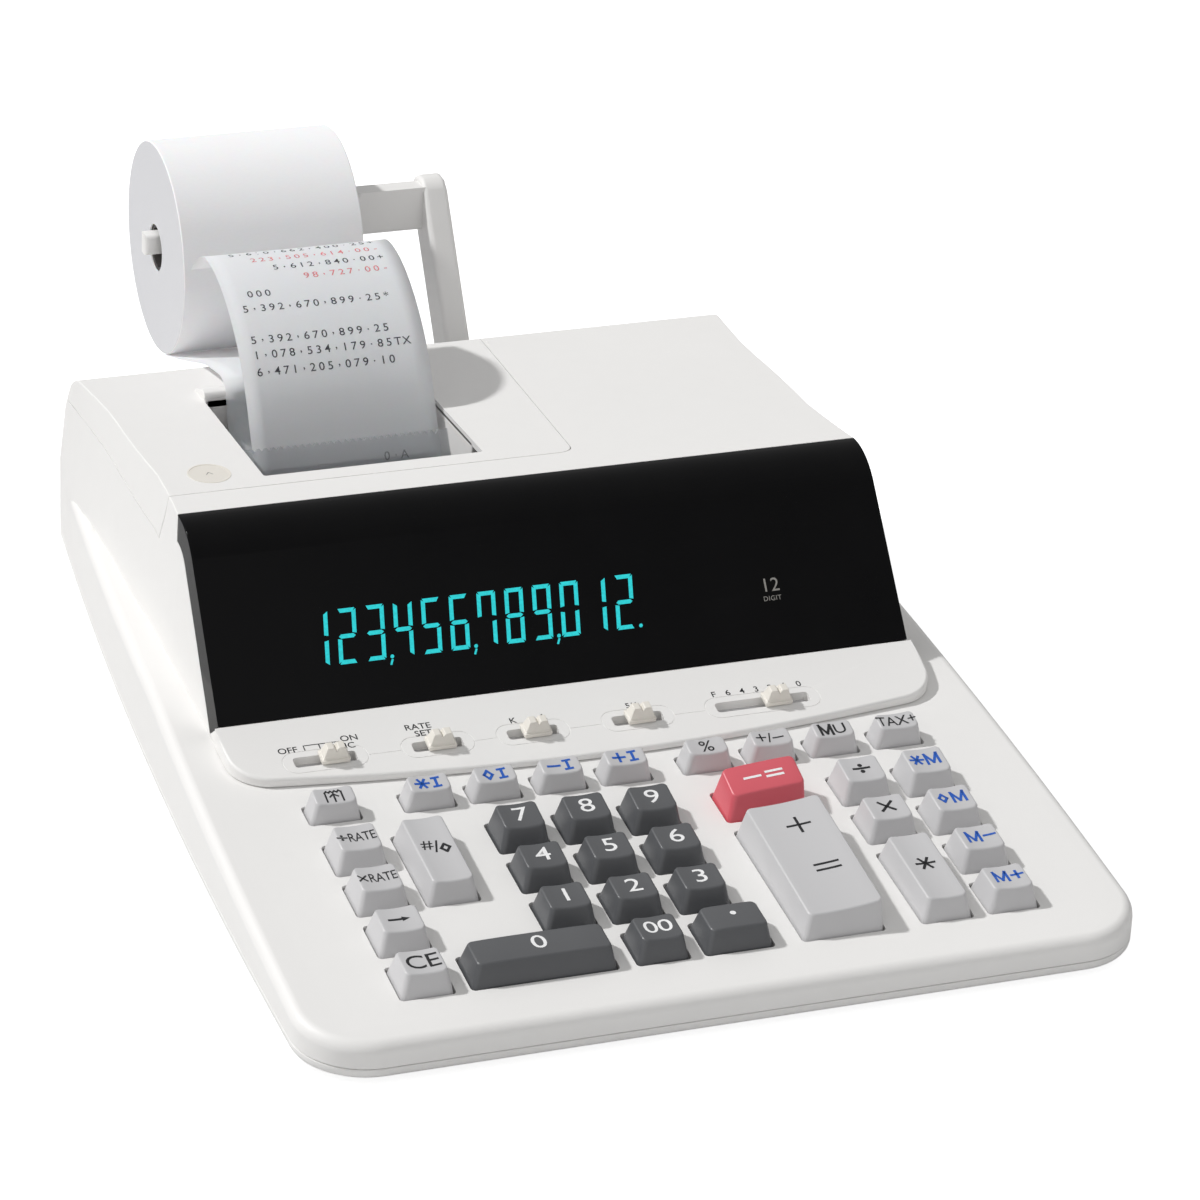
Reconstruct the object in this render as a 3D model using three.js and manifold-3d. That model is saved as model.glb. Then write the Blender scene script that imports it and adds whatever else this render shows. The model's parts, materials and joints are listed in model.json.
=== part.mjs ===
// Printing desk calculator: millimetres, +Z up, front edge towards -Y, the table at z = 0.
import * as THREE from 'three';
import { mergeVertices } from 'three/addons/utils/BufferGeometryUtils.js';
import Module from 'manifold-3d';

const wasm = await Module();
wasm.setup();

// ---- driving dimensions ----
const gap = 0.3;                 // between pieces that touch or sit in one another
const caseWidth = 236;
const caseDepth = 334;
const footHeight = 1.7;
const caseBottom = footHeight + gap;
const floorWall = 1.8;
const lowerRim = 3.1;            // height of the lower case's outer wall
const wall = 2.2;
const frontCorner = 20;
const rearCorner = 14;
const sideBow = 2530;            // radius of the long curve of each side
const edgeRound = 3;

const deckTilt = 5;              // degrees
const deckFrontHeight = 12.4;    // deck surface at the front edge
const deckWall = 2;
const flangeTop = 27.5;          // height of the ledge beside the raised rear
const keyPitch = 19;
const keyboardFront = 16.5;      // front edge to the first row of key wells
const wellWidth = 15.4;
const wellDepth = 15.2;
const shortWellDepth = 9.6;
const keyGap = 0.4;
const keyHeight = 6.2;
const keySkirt = 1;
const keySide = 2.1;
const keyFront = 2.6;
const keyBack = 1.7;
const keyWall = 1.2;
const keyTravel = 2.8;
const stemWidth = 5;
const stemReach = 3;
const sheetThickness = 1.2;
const boardThickness = 1.4;

const panelDepth = 29.5;
const panelRise = 1.8;
const panelHalfWidth = 104;
const panelCorner = 10;
const panelWall = 1.8;
const knobWidth = 8.2;
const knobDepth = 5.4;
const knobHeight = 3.2;
const knobStem = 5;
const slotWidth = 4;
const slotLine = 11.7;           // slots' centre line, back from the panel's front edge

const lensFoot = [-26, 31];
const lensAngle = 50.5;
const lensLength = 47.2;
const lensRound = 18.8;
const lensThickness = 2.5;
const lensReturn = 8;
const topFall = 4.24;            // degrees that the top slopes down towards the back
const topLength = 107;
const humpHalfTop = 99.5;
const humpHalfBottom = 103;
const humpRound = 4;
const backSlope = 62;
const backRound = 12;

const coverFrontY = 34;
const coverRight = 23;
const coverSkirt = 56;
const coverWall = 2;
const windowLeft = -71;
const windowRight = -1.5;
const windowFront = 41;
const windowBack = 103.5;

const paperWidth = 57;
const paperLeft = -64.5;
const paperThickness = 0.3;
const rollRadius = 33;
const coreOuter = 7.3;
const coreBore = 6.2;
const rollAxis = [183, 84];
const feedRadius = 6.5;
const feedAxis = [77.5, 48];
const inkRadius = 7;
const inkAxis = [97, 32];
const axleRadius = 2.3;
const axlePlay = 0.2;
const frameLeft = -77;
const frameRight = 5;
const frameWall = 2;

const armThickness = 8;
const armWidth = 14;
const armHead = 9;               // the arm's length past the middle of the shaft
const armLeft = 20.5;
const armPivot = [153, 44];
const pivotBoss = 5.5;
const pivotPin = 2.5;
const pivotPlay = 0.3;
const lugWall = 4;
const shaftWidth = 6;
const shaftRootHeight = 14.4;
const shaftTipHeight = 6.6;
const shaftOverhang = 4;

// ---- shapes ----
const rad = THREE.MathUtils.degToRad;
const frontY = -caseDepth / 2;
const rearY = caseDepth / 2;

function toSolid(geometry) {
  const bare = geometry.clone();
  bare.deleteAttribute('normal');
  bare.deleteAttribute('uv');
  const merged = mergeVertices(bare, 1e-4);
  const vertProperties = new Float32Array(merged.attributes.position.array);
  const triVerts = new Uint32Array(merged.index.array);
  return new wasm.Manifold(new wasm.Mesh({ numProp: 3, vertProperties, triVerts }));
}

function toGeometry(solid) {
  const mesh = solid.getMesh();
  const geometry = new THREE.BufferGeometry();
  geometry.setAttribute('position', new THREE.BufferAttribute(new Float32Array(mesh.vertProperties), 3));
  geometry.setIndex(new THREE.BufferAttribute(new Uint32Array(mesh.triVerts), 1));
  return geometry;
}

function extruded(points, depth, options = {}) {
  const shape = new THREE.Shape(points.map(([a, b]) => new THREE.Vector2(a, b)));
  return new THREE.ExtrudeGeometry(shape, { depth, bevelEnabled: false, ...options });
}

const edgeBevel = (size) => (
  { bevelEnabled: true, bevelSize: size, bevelThickness: size, bevelSegments: 2, bevelOffset: -size }
);

// points are [y, z], swept from x0 to x1
function prismX(points, x0, x1) {
  const turn = new THREE.Matrix4().set(0, 0, 1, x0, 1, 0, 0, 0, 0, 1, 0, 0, 0, 0, 0, 1);
  return toSolid(extruded(points, x1 - x0).applyMatrix4(turn));
}

// points are [x, z], swept from y0 to y1
function prismY(points, y0, y1) {
  const turn = new THREE.Matrix4().set(1, 0, 0, 0, 0, 0, -1, y1, 0, 1, 0, 0, 0, 0, 0, 1);
  return toSolid(extruded(points, y1 - y0).applyMatrix4(turn));
}

// points are [x, y], swept from z0 to z1
function prismZ(points, z0, z1) {
  return toSolid(extruded(points, z1 - z0).translate(0, 0, z0));
}

function block(x0, x1, y0, y1, z0, z1) {
  const box = new THREE.BoxGeometry(x1 - x0, y1 - y0, z1 - z0);
  return toSolid(box.translate((x0 + x1) / 2, (y0 + y1) / 2, (z0 + z1) / 2));
}

// a block whose top rectangle differs from its bottom one; each is [x0, x1, y0, y1, z]
function taper(bottom, top) {
  const box = new THREE.BoxGeometry(1, 1, 1);
  const position = box.attributes.position;
  for (let i = 0; i < position.count; i += 1) {
    const [x0, x1, y0, y1, z] = position.getZ(i) > 0 ? top : bottom;
    position.setXYZ(i, position.getX(i) > 0 ? x1 : x0, position.getY(i) > 0 ? y1 : y0, z);
  }
  return toSolid(box);
}

// a turned piece about an X axis through [y, z]; profile is [radius, x] from end to end
function turnedX(profile, [y, z], sides = 20) {
  const closed = [[0, profile[0][1]], ...profile, [0, profile.at(-1)[1]]];
  const lathe = new THREE.LatheGeometry(closed.map(([r, x]) => new THREE.Vector2(r, x)), sides);
  return toSolid(lathe.rotateZ(-Math.PI / 2).translate(0, y, z));
}

function rodX(radius, centre, x0, x1, sides) {
  return turnedX([[radius, x0], [radius, x1]], centre, sides);
}

function postZ(radius, x, y, z0, z1, sides = 12) {
  const post = new THREE.CylinderGeometry(radius, radius, z1 - z0, sides).rotateX(Math.PI / 2);
  return toSolid(post.translate(x, y, (z0 + z1) / 2));
}

function arc([cx, cy], radius, from, to, steps) {
  const points = [];
  for (let i = 0; i <= steps; i += 1) {
    const angle = rad(from + ((to - from) * i) / steps);
    points.push([cx + radius * Math.cos(angle), cy + radius * Math.sin(angle)]);
  }
  return points;
}

// a sheet of even thickness that follows a path of [y, z] points
function ribbon(path, thickness) {
  const sides = [[], []];
  path.forEach((point, i) => {
    const before = path[Math.max(i - 1, 0)];
    const after = path[Math.min(i + 1, path.length - 1)];
    const length = Math.hypot(after[0] - before[0], after[1] - before[1]);
    const across = [-(after[1] - before[1]) / length, (after[0] - before[0]) / length];
    sides[0].push([point[0] + (across[0] * thickness) / 2, point[1] + (across[1] * thickness) / 2]);
    sides[1].unshift([point[0] - (across[0] * thickness) / 2, point[1] - (across[1] * thickness) / 2]);
  });
  return [...sides[0], ...sides[1]];
}

// ---- the case's outline and profiles ----
const bowStart = frontY + 37;
const halfWidthAt = (y) => caseWidth / 2 - Math.max(y - bowStart, 0) ** 2 / (2 * sideBow);
const deckAt = (y) => deckFrontHeight + (y - frontY) * Math.tan(rad(deckTilt));

function caseOutline(inset) {
  const right = arc([caseWidth / 2 - frontCorner, frontY + frontCorner], frontCorner - inset, -90, 0, 5);
  const sideEnd = rearY - rearCorner;
  for (let step = 0; step < 5; step += 1) {
    const y = bowStart + ((sideEnd - bowStart) * step) / 5;
    right.push([halfWidthAt(y) - inset, y]);
  }
  right.push(...arc([halfWidthAt(sideEnd) - rearCorner, sideEnd], rearCorner - inset, 0, 90, 4));
  return [...right, ...right.map(([x, y]) => [-x, y]).reverse()];
}

const upright = (inset) => prismZ(caseOutline(inset), -20, 120);

// the plan outline swept square to the deck, rounded over at its top edge
function deckSlab(inset, drop) {
  const round = Math.max(edgeRound - inset, 0.6);
  const height = 80;
  const flat = caseOutline(inset).map(([x, y]) => [x, (y - frontY) * Math.cos(rad(deckTilt))]);
  const slab = extruded(flat, height, edgeBevel(round)).translate(0, 0, -height - round - drop);
  slab.rotateX(rad(deckTilt)).translate(0, frontY, deckFrontHeight);
  return toSolid(slab);
}

// the lens's outline from its foot up over the rounded top, moved inwards by inset
const lensUp = [Math.cos(rad(lensAngle)), Math.sin(rad(lensAngle))];
const lensIn = [lensUp[1], -lensUp[0]];
const lensBend = [lensFoot[0] + lensUp[0] * lensLength, lensFoot[1] + lensUp[1] * lensLength];
const bendCentre = [lensBend[0] + lensIn[0] * lensRound, lensBend[1] + lensIn[1] * lensRound];
const topStart = [
  bendCentre[0] + lensRound * Math.sin(rad(topFall)),
  bendCentre[1] + lensRound * Math.cos(rad(topFall)),
];
const topAlong = [Math.cos(rad(topFall)), -Math.sin(rad(topFall))];
const topEnd = [topStart[0] + topAlong[0] * topLength, topStart[1] + topAlong[1] * topLength];
const topAt = (y) => topStart[1] - (y - topStart[0]) * Math.tan(rad(topFall));

function lensCurve(inset, slack = 0) {
  const foot = [
    lensFoot[0] + lensIn[0] * inset - lensUp[0] * slack,
    lensFoot[1] + lensIn[1] * inset - lensUp[1] * slack,
  ];
  const bend = arc(bendCentre, lensRound - inset, 90 + lensAngle, 90 - topFall, 6);
  const last = bend.at(-1);
  const end = [last[0] + topAlong[0] * slack, last[1] + topAlong[1] * slack];
  return slack > 0 ? [foot, ...bend, end] : [foot, ...bend];
}

function humpSolid(inset) {
  const backCentre = [
    topEnd[0] - backRound * Math.sin(rad(topFall)),
    topEnd[1] - backRound * Math.cos(rad(topFall)),
  ];
  const backBend = arc(backCentre, backRound - inset, 90 - topFall, 90 - backSlope, 4);
  const backFoot = 4;
  const [by, bz] = backBend.at(-1);
  const foot = [by + (bz - backFoot) / Math.tan(rad(backSlope)), backFoot];
  const front = lensCurve(inset);
  const profile = [...front, ...backBend, foot, [front[0][0], backFoot]];
  const body = prismX(profile, -caseWidth, caseWidth);
  const half = (z) => humpHalfTop - inset + ((humpHalfBottom - humpHalfTop) * -z) / (topStart[1] - flangeTop);
  const low = -topStart[1] - 20;
  const corner = arc([half(0) - humpRound, -humpRound - inset], humpRound, 0, 90, 3);
  const rightSide = [[half(low), low], ...corner];
  const section = [...rightSide, ...rightSide.map(([x, z]) => [-x, z]).reverse()];
  const turn = new THREE.Matrix4().makeRotationX(-rad(topFall)).setPosition(0, topStart[0], topStart[1]);
  const sweep = extruded(section, 400);
  sweep.applyMatrix4(new THREE.Matrix4().set(1, 0, 0, 0, 0, 0, -1, 250, 0, 1, 0, 0, 0, 0, 0, 1));
  return body.intersect(toSolid(sweep.applyMatrix4(turn))).intersect(upright(inset));
}

// ---- assembly ----
const calculator = new THREE.Group();
const colours = {
  shell: [0xe9e7e2, 0.5, 0], lightKey: [0xd3d4d6, 0.45, 0], darkKey: [0x56575b, 0.4, 0],
  redKey: [0xd9606b, 0.4, 0], knob: [0xe6e2d8, 0.5, 0], lens: [0x08090b, 0.1, 0],
  paper: [0xf4f3f3, 0.9, 0], core: [0x2b2826, 0.8, 0], rubber: [0x232323, 0.9, 0],
  board: [0x2f6b45, 0.6, 0], metal: [0x9a9c9f, 0.35, 1], clear: [0xc9cbd0, 0.1, 0],
  ink: [0x2a2030, 0.8, 0], glass: [0x31484c, 0.1, 0], dark: [0x2e2e31, 0.6, 0],
};

function add(name, solid, colour, parent = calculator) {
  const [color, roughness, metalness] = colours[colour];
  const material = new THREE.MeshStandardMaterial({ color, roughness, metalness });
  const mesh = new THREE.Mesh(toGeometry(solid), material);
  mesh.name = name;
  parent.add(mesh);
}

// the deck's own frame: x across, y up the slope from the first key well, z square to the deck
const deckOrigin = [-88.4, frontY + keyboardFront, deckAt(frontY + keyboardFront)];
const deck = new THREE.Group();
deck.position.set(...deckOrigin);
deck.rotation.x = rad(deckTilt);
calculator.add(deck);
const deckTurn = new THREE.Matrix4().makeRotationX(rad(deckTilt)).setPosition(...deckOrigin);
const onDeck = (solid) => solid.transform(deckTurn.toArray());

// ---- keys: name, column, row, width in wells, colour; rows count up from the front ----
const wideWell = 24;
const columns = {
  a: -0.05, b: 0.97, i: 1.37, c: 2.37, d: 3.37, e: 4.37, p: 5.63, f: 5.82, q: 6.64, g: 7.62, h: 8.64,
};
const topRow = 4.3;
const keyList = [
  ['key_ce', 'a', 0], ['key_shift', 'a', 1], ['key_rate_multiply', 'a', 2],
  ['key_rate_divide', 'a', 3], ['key_paper_feed', 'a', topRow],
  ['key_number_subtotal', 'b', 2, { rows: 2 }],
  ['key_0', 'b', 0, { width: 41, colour: 'darkKey' }], ['key_00', 'd', 0, { colour: 'darkKey' }],
  ['key_point', 'e', 0, { width: 20, colour: 'darkKey' }],
  ['key_1', 'c', 1, { colour: 'darkKey' }], ['key_2', 'd', 1, { colour: 'darkKey' }],
  ['key_3', 'e', 1, { colour: 'darkKey' }], ['key_4', 'c', 2, { colour: 'darkKey' }],
  ['key_5', 'd', 2, { colour: 'darkKey' }], ['key_6', 'e', 2, { colour: 'darkKey' }],
  ['key_7', 'c', 3, { colour: 'darkKey' }], ['key_8', 'd', 3, { colour: 'darkKey' }],
  ['key_9', 'e', 3, { colour: 'darkKey' }],
  ['key_item_total', 'i', topRow], ['key_item_subtotal', 'c', topRow],
  ['key_item_minus', 'd', topRow], ['key_item_plus', 'e', topRow],
  ['key_percent', 'p', topRow], ['key_sign_change', 'q', topRow],
  ['key_markup', 'g', topRow], ['key_tax', 'h', topRow],
  ['key_minus_equals', 'f', 3, { width: wideWell, colour: 'redKey' }],
  ['key_plus_equals', 'f', 0, { width: wideWell, rows: 3 }],
  ['key_divide', 'g', 3], ['key_multiply', 'g', 2], ['key_total', 'g', 0, { rows: 2 }],
  ['key_memory_total', 'h', 3], ['key_memory_subtotal', 'h', 2],
  ['key_memory_minus', 'h', 1], ['key_memory_plus', 'h', 0],
];
const wells = keyList.map(([name, column, row, options = {}]) => {
  const depth = row === topRow ? shortWellDepth : wellDepth + keyPitch * ((options.rows ?? 1) - 1);
  return {
    name, depth, colour: options.colour ?? 'lightKey', width: options.width ?? wellWidth,
    x: columns[column] * keyPitch, y: row * keyPitch,
  };
});

function keySolid({ width, depth }) {
  const w = width - 2 * keyGap;
  const d = depth - 2 * keyGap;
  const cap = taper([0, w, 0, d, -keySkirt], [keySide, w - keySide, keyFront, d - keyBack, keyHeight]);
  const inner = taper(
    [keyWall, w - keyWall, keyWall, d - keyWall, -keySkirt - 1],
    [
      keySide + keyWall, w - keySide - keyWall, keyFront + keyWall, d - keyBack - keyWall,
      keyHeight - keyWall,
    ],
  );
  const half = Math.min(stemWidth, d / 2) / 2;
  const stemTop = keyHeight - keyWall / 2;
  const stem = block(w / 2 - half, w / 2 + half, d / 2 - half, d / 2 + half, -stemReach, stemTop);
  return cap.subtract(inner).add(stem).translate(keyGap, keyGap, 0);
}

for (const well of wells) {
  add(well.name, keySolid(well).translate(well.x, well.y, 0), well.colour, deck);
}

// ---- keyboard sheet and main board under the keys ----
const boardEdge = 3;
const boardRight = columns.h * keyPitch + wellWidth + boardEdge;
const boardBack = topRow * keyPitch + shortWellDepth + boardEdge;
const sheetTop = -(stemReach + keyTravel + gap);
const boardTop = sheetTop - sheetThickness - gap;
const underKeys = (top, thickness) => (
  block(-boardEdge, boardRight, -boardEdge, boardBack, top - thickness, top)
);
add('key_sheet', underKeys(sheetTop, sheetThickness), 'rubber', deck);
add('main_board', underKeys(boardTop, boardThickness), 'board', deck);

// ---- switch panel and its knobs ----
const panelFront = lensFoot[0] - panelDepth;
const panelBack = lensFoot[0] - gap;
const panelTopAt = (y) => {
  const low = deckAt(panelFront) + panelRise;
  return low + ((y - panelFront) * (lensFoot[1] - gap - low)) / (panelBack - panelFront);
};
const panelPitch = Math.atan((panelTopAt(panelBack) - panelTopAt(panelFront)) / (panelBack - panelFront));

function panelSolid(inset, lift) {
  const halfWidth = panelHalfWidth - inset;
  const y0 = panelFront + inset;
  const corner = arc([halfWidth - panelCorner, y0 + panelCorner], panelCorner, -90, 0, 4);
  const rightSide = [...corner, [halfWidth, panelBack]];
  const plan = [...rightSide, ...rightSide.map(([x, y]) => [-x, y]).reverse()];
  const low = (y) => deckAt(y) + gap;
  const y1 = inset > 0 ? panelBack - inset : panelBack;
  const under = inset * 3;
  const profile = [
    [y0, low(y0) - under], [y0, panelTopAt(y0) - lift], [y1, panelTopAt(y1) - lift], [y1, low(y1) - under],
  ];
  return prismZ(plan, 0, 60).intersect(prismX(profile, -panelHalfWidth, panelHalfWidth));
}

const switches = [
  { name: 'switch_power', slot: [-86.4, -68.4], knob: -75 },
  { name: 'switch_rate', slot: [-52.3, -37.7], knob: -44.3 },
  { name: 'switch_constant', slot: [-24.6, -9.7], knob: -16.4 },
  { name: 'switch_rounding', slot: [6.4, 21.4], knob: 14.4 },
  { name: 'switch_decimal', slot: [37.4, 65.6], knob: 55.6 },
];
const slotY = panelFront + slotLine;
const knobBase = panelTopAt(slotY);
const onPanel = (solid, x) => {
  const placed = new THREE.Matrix4().makeRotationX(panelPitch).setPosition(x, slotY, knobBase);
  return solid.transform(placed.toArray());
};
let panel = panelSolid(0, 0).subtract(panelSolid(panelWall, panelWall));
for (const { slot } of switches) {
  panel = panel.subtract(onPanel(block(slot[0], slot[1], -slotWidth / 2, slotWidth / 2, -9, 9), 0));
}
add('switch_panel', panel, 'shell');

for (const { name, knob } of switches) {
  const head = taper(
    [-knobWidth / 2, knobWidth / 2, -knobDepth / 2, knobDepth / 2, gap],
    [-knobWidth / 2 + 0.6, knobWidth / 2 - 0.6, -knobDepth / 2 + 0.8, knobDepth / 2 - 0.8, knobHeight],
  );
  const stemHalf = slotWidth / 2 - gap;
  const stem = block(-knobStem / 2, knobStem / 2, -stemHalf, stemHalf, -panelWall - 1, gap + 0.5);
  add(name, onPanel(head.add(stem), knob), 'knob');
}

// ---- cases ----
const rimHeight = caseBottom + lowerRim;
const upperBottom = rimHeight + gap;
const above = (z) => block(-caseWidth, caseWidth, -caseDepth, caseDepth, z, 200);

const feetY = [frontY + 20, rearY - 24];
const footHalf = 80;
['foot_strip_front', 'foot_strip_rear'].forEach((name, i) => {
  add(name, block(-footHalf, footHalf, feetY[i] - 4, feetY[i] + 4, 0, footHeight), 'rubber');
});

const trayRound = 2;
const trayShape = extruded(caseOutline(0), 20, edgeBevel(trayRound));
const trayBlank = toSolid(trayShape.translate(0, 0, caseBottom + trayRound));
let lowerCase = trayBlank.subtract(above(rimHeight));
lowerCase = lowerCase.subtract(prismZ(caseOutline(wall), caseBottom + floorWall, 60));
const bossRadius = 3.5;
const bosses = [[104, frontY + 45], [104, frontY + 110], [88, rearY - 40]];
const bossTop = (y) => Math.min(flangeTop, deckAt(y)) - deckWall - 1;
for (const [x, y] of bosses) {
  for (const side of [-x, x]) {
    lowerCase = lowerCase.add(postZ(bossRadius, side, y, caseBottom + floorWall / 2, bossTop(y)));
  }
}
add('lower_case', lowerCase, 'shell');

const ledgeCut = block(-caseWidth, caseWidth, 0, rearY + 20, flangeTop, 120);
const ledgeStart = (flangeTop - deckFrontHeight) / Math.tan(rad(deckTilt)) + frontY;
const flange = (inset, drop) => (
  deckSlab(inset, drop).intersect(upright(inset)).subtract(ledgeCut.translate(0, ledgeStart, -drop))
);
const outer = flange(0, 0).add(humpSolid(0)).intersect(above(upperBottom));
const inner = flange(wall, deckWall).add(humpSolid(wall));
const coverRegion = (slack) => prismX(
  [
    [coverFrontY - slack, 120], [coverFrontY - slack, topAt(coverFrontY)],
    [coverFrontY + 9 - slack, coverSkirt - slack], [rearY + 60, coverSkirt - slack], [rearY + 60, 120],
  ],
  -caseWidth, coverRight + slack,
);
const lensRegion = (slack) => prismX(
  [...lensCurve(-20, slack), ...lensCurve(lensReturn + slack, slack).reverse()], -caseWidth, caseWidth,
);

let upperCase = outer.subtract(inner).subtract(coverRegion(gap)).subtract(lensRegion(gap));
for (const { x, y, width, depth } of wells) {
  upperCase = upperCase.subtract(onDeck(block(x, x + width, y, y + depth, -20, 20)));
}
for (const { slot } of switches) {
  const margin = 2;
  const opening = block(slot[0] - margin, slot[1] + margin, slotY - slotWidth, slotY + slotWidth, 5, 60);
  upperCase = upperCase.subtract(opening);
}

// rear lugs that carry the paper arm, and the cord bush in the rear wall
const armRight = armLeft + armThickness;
const lugSpace = gap + 2;
const lugs = [
  [armLeft - lugSpace - lugWall, armLeft - lugSpace], [armRight + lugSpace, armRight + lugSpace + lugWall],
];
const lugRadius = pivotPin + pivotPlay + 2.4;
for (const [x0, x1] of lugs) {
  const root = block(x0, x1, armPivot[0] - 13, armPivot[0], armPivot[1] - lugRadius, armPivot[1] + lugRadius);
  const lug = rodX(lugRadius, armPivot, x0, x1, 16).add(root).subtract(inner);
  upperCase = upperCase.add(lug).subtract(rodX(pivotPin + pivotPlay, armPivot, x0 - 1, x1 + 1, 16));
}
const bushAxis = [75, 16];
const bushRadius = 5;
const boreY = (radius, y0, y1) => {
  const rod = new THREE.CylinderGeometry(radius, radius, y1 - y0, 16);
  return toSolid(rod.translate(bushAxis[0], (y0 + y1) / 2, bushAxis[1]));
};
upperCase = upperCase.subtract(boreY(bushRadius + gap, rearY - 30, rearY + 20));
add('upper_case', upperCase, 'shell');
const bush = boreY(bushRadius, rearY - 8, rearY + 1).add(boreY(bushRadius + 2, rearY + gap, rearY + 2));
add('cord_bush', bush.subtract(boreY(2.6, rearY - 20, rearY + 20)), 'dark');

// ---- display: smoked lens and the tube behind it ----
const lensInner = prismX(
  [...lensCurve(lensThickness), ...lensCurve(lensReturn + 4).reverse()],
  -humpHalfTop + lensThickness, humpHalfTop - lensThickness,
);
add('display_lens', humpSolid(0).intersect(lensRegion(0)).subtract(lensInner), 'lens');

const tubeSetback = 9;
const tubeThickness = 7;
const tubeFrom = 8;
const tubeHeight = 28;
const lensPoint = (along, inset) => [
  lensFoot[0] + lensUp[0] * along + lensIn[0] * inset,
  lensFoot[1] + lensUp[1] * along + lensIn[1] * inset,
];
const tubeTo = tubeFrom + tubeHeight;
const tubeRear = tubeSetback + tubeThickness;
const tube = [
  lensPoint(tubeFrom, tubeSetback), lensPoint(tubeTo, tubeSetback),
  lensPoint(tubeTo, tubeRear), lensPoint(tubeFrom, tubeRear),
];
add('display_tube', prismX(tube, -78, 36), 'glass');

// ---- printer cover with its paper window ----
let cover = humpSolid(0).subtract(humpSolid(coverWall)).intersect(coverRegion(0));
const rearTop = topAt(windowBack);
const ridge = [
  [windowBack, rearTop - 1], [windowBack, rearTop + 1.6], [windowBack + 2, rearTop + 3],
  [windowBack + 5, rearTop + 2.4], [windowBack + 9, topAt(windowBack + 9) - 1],
];
cover = cover.subtract(block(windowLeft, windowRight, windowFront, windowBack, 20, 120));
cover = cover.add(prismX(ridge, windowLeft, windowRight));
add('printer_cover', cover, 'shell');

// ---- printer: frame, rollers, tear bar, transformer ----
const frameBase = caseBottom + floorWall + gap;
const plate = [[52, frameBase], [112, frameBase], [112, 50], [92, 56], [64, 56], [52, 44]];
let frame = block(frameLeft, frameRight, 52, 112, frameBase, frameBase + frameWall);
for (const x of [frameLeft, frameRight - frameWall]) {
  frame = frame.add(prismX(plate, x, x + frameWall));
}
for (const axis of [feedAxis, inkAxis]) {
  frame = frame.subtract(rodX(axleRadius + axlePlay, axis, frameLeft - 5, frameRight + 5, 16));
}
add('printer_frame', frame, 'metal');

function rollerSolid(radius, axis, x0, x1) {
  return turnedX([
    [axleRadius, frameLeft - 2], [axleRadius, x0], [radius, x0], [radius, x1],
    [axleRadius, x1], [axleRadius, frameRight + 2],
  ], axis, 16);
}
add('feed_roller', rollerSolid(feedRadius, feedAxis, frameLeft + 6, frameRight - 6), 'rubber');
add('ink_roller', rollerSolid(inkRadius, inkAxis, frameLeft + 12, frameRight - 12), 'ink');

const tearTop = [74.2, 65];
const tearPath = [tearTop, [70.6, 59.6], [68.4, 54], [68, 49]];
let tearBar = prismX(ribbon(tearPath, 1), frameLeft + frameWall + 2, frameRight - frameWall - 2);
const toothPitch = 2.2;
for (let x = paperLeft; x < paperLeft + paperWidth; x += toothPitch) {
  const toothTop = tearTop[1] + 1;
  const notch = [[x + 0.5, tearTop[1] - 0.9], [x + toothPitch, toothTop], [x - toothPitch / 2, toothTop]];
  tearBar = tearBar.subtract(prismY(notch, tearTop[0] - 6, tearTop[0] + 6));
}
add('tear_bar', tearBar, 'clear');

const coreStack = block(52, 92, 64, 112, frameBase, frameBase + 26);
const coil = block(58, 86, 58, 118, frameBase + 5, frameBase + 21);
add('transformer', coreStack.add(coil), 'metal');

// ---- paper: roll, core, and the printed strip that comes out of the window ----
const paperRight = paperLeft + paperWidth;
const rollBlank = rodX(rollRadius, rollAxis, paperLeft, paperRight, 48);
const rollBore = (radius) => rodX(radius, rollAxis, paperLeft - 1, paperRight + 1, 24);
add('paper_roll', rollBlank.subtract(rollBore(coreOuter + gap)), 'paper');
const coreBlank = rodX(coreOuter, rollAxis, paperLeft, paperRight, 24);
add('roll_core', coreBlank.subtract(rollBore(coreBore)), 'core');

const wrap = feedRadius + gap + paperThickness;
const rearGuide = [windowBack, rearTop];
const leaveAngle = 19;            // the paper leaves the roll this far forward of its lowest point
const leaveRadius = rollRadius + 0.5;
const leaveRoll = [
  rollAxis[0] - leaveRadius * Math.sin(rad(leaveAngle)),
  rollAxis[1] - leaveRadius * Math.cos(rad(leaveAngle)),
];
const stripPath = [
  leaveRoll, [128, topAt(128) + 1.9], [118.6, topAt(118.6) + 4], [rearGuide[0] + 7, rearGuide[1] + 4.6],
  [rearGuide[0] + 3, rearGuide[1] + 4.4], [rearGuide[0] - 0.2, rearGuide[1] + 2.6],
  [rearGuide[0] - 1, rearGuide[1] - 2],
  [rearGuide[0] - 2.5, rearGuide[1] - 8], [rearGuide[0] - 9, rearGuide[1] - 14],
  ...arc(feedAxis, wrap, 0, -180, 8),
  [70.5, 53], [72.2, 58.5], [75.6, 64.8], [79.2, 71.8], [83.6, 79.6], [89.6, 87.3], [97, 93.7],
  [105.2, 98.7], [113, 101.8], [121, 103.3], [129.5, 102.8], [137, 98.6], [143, 92.6],
];
add('paper_strip', prismX(ribbon(stripPath, paperThickness), paperLeft, paperRight), 'paper');

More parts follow.
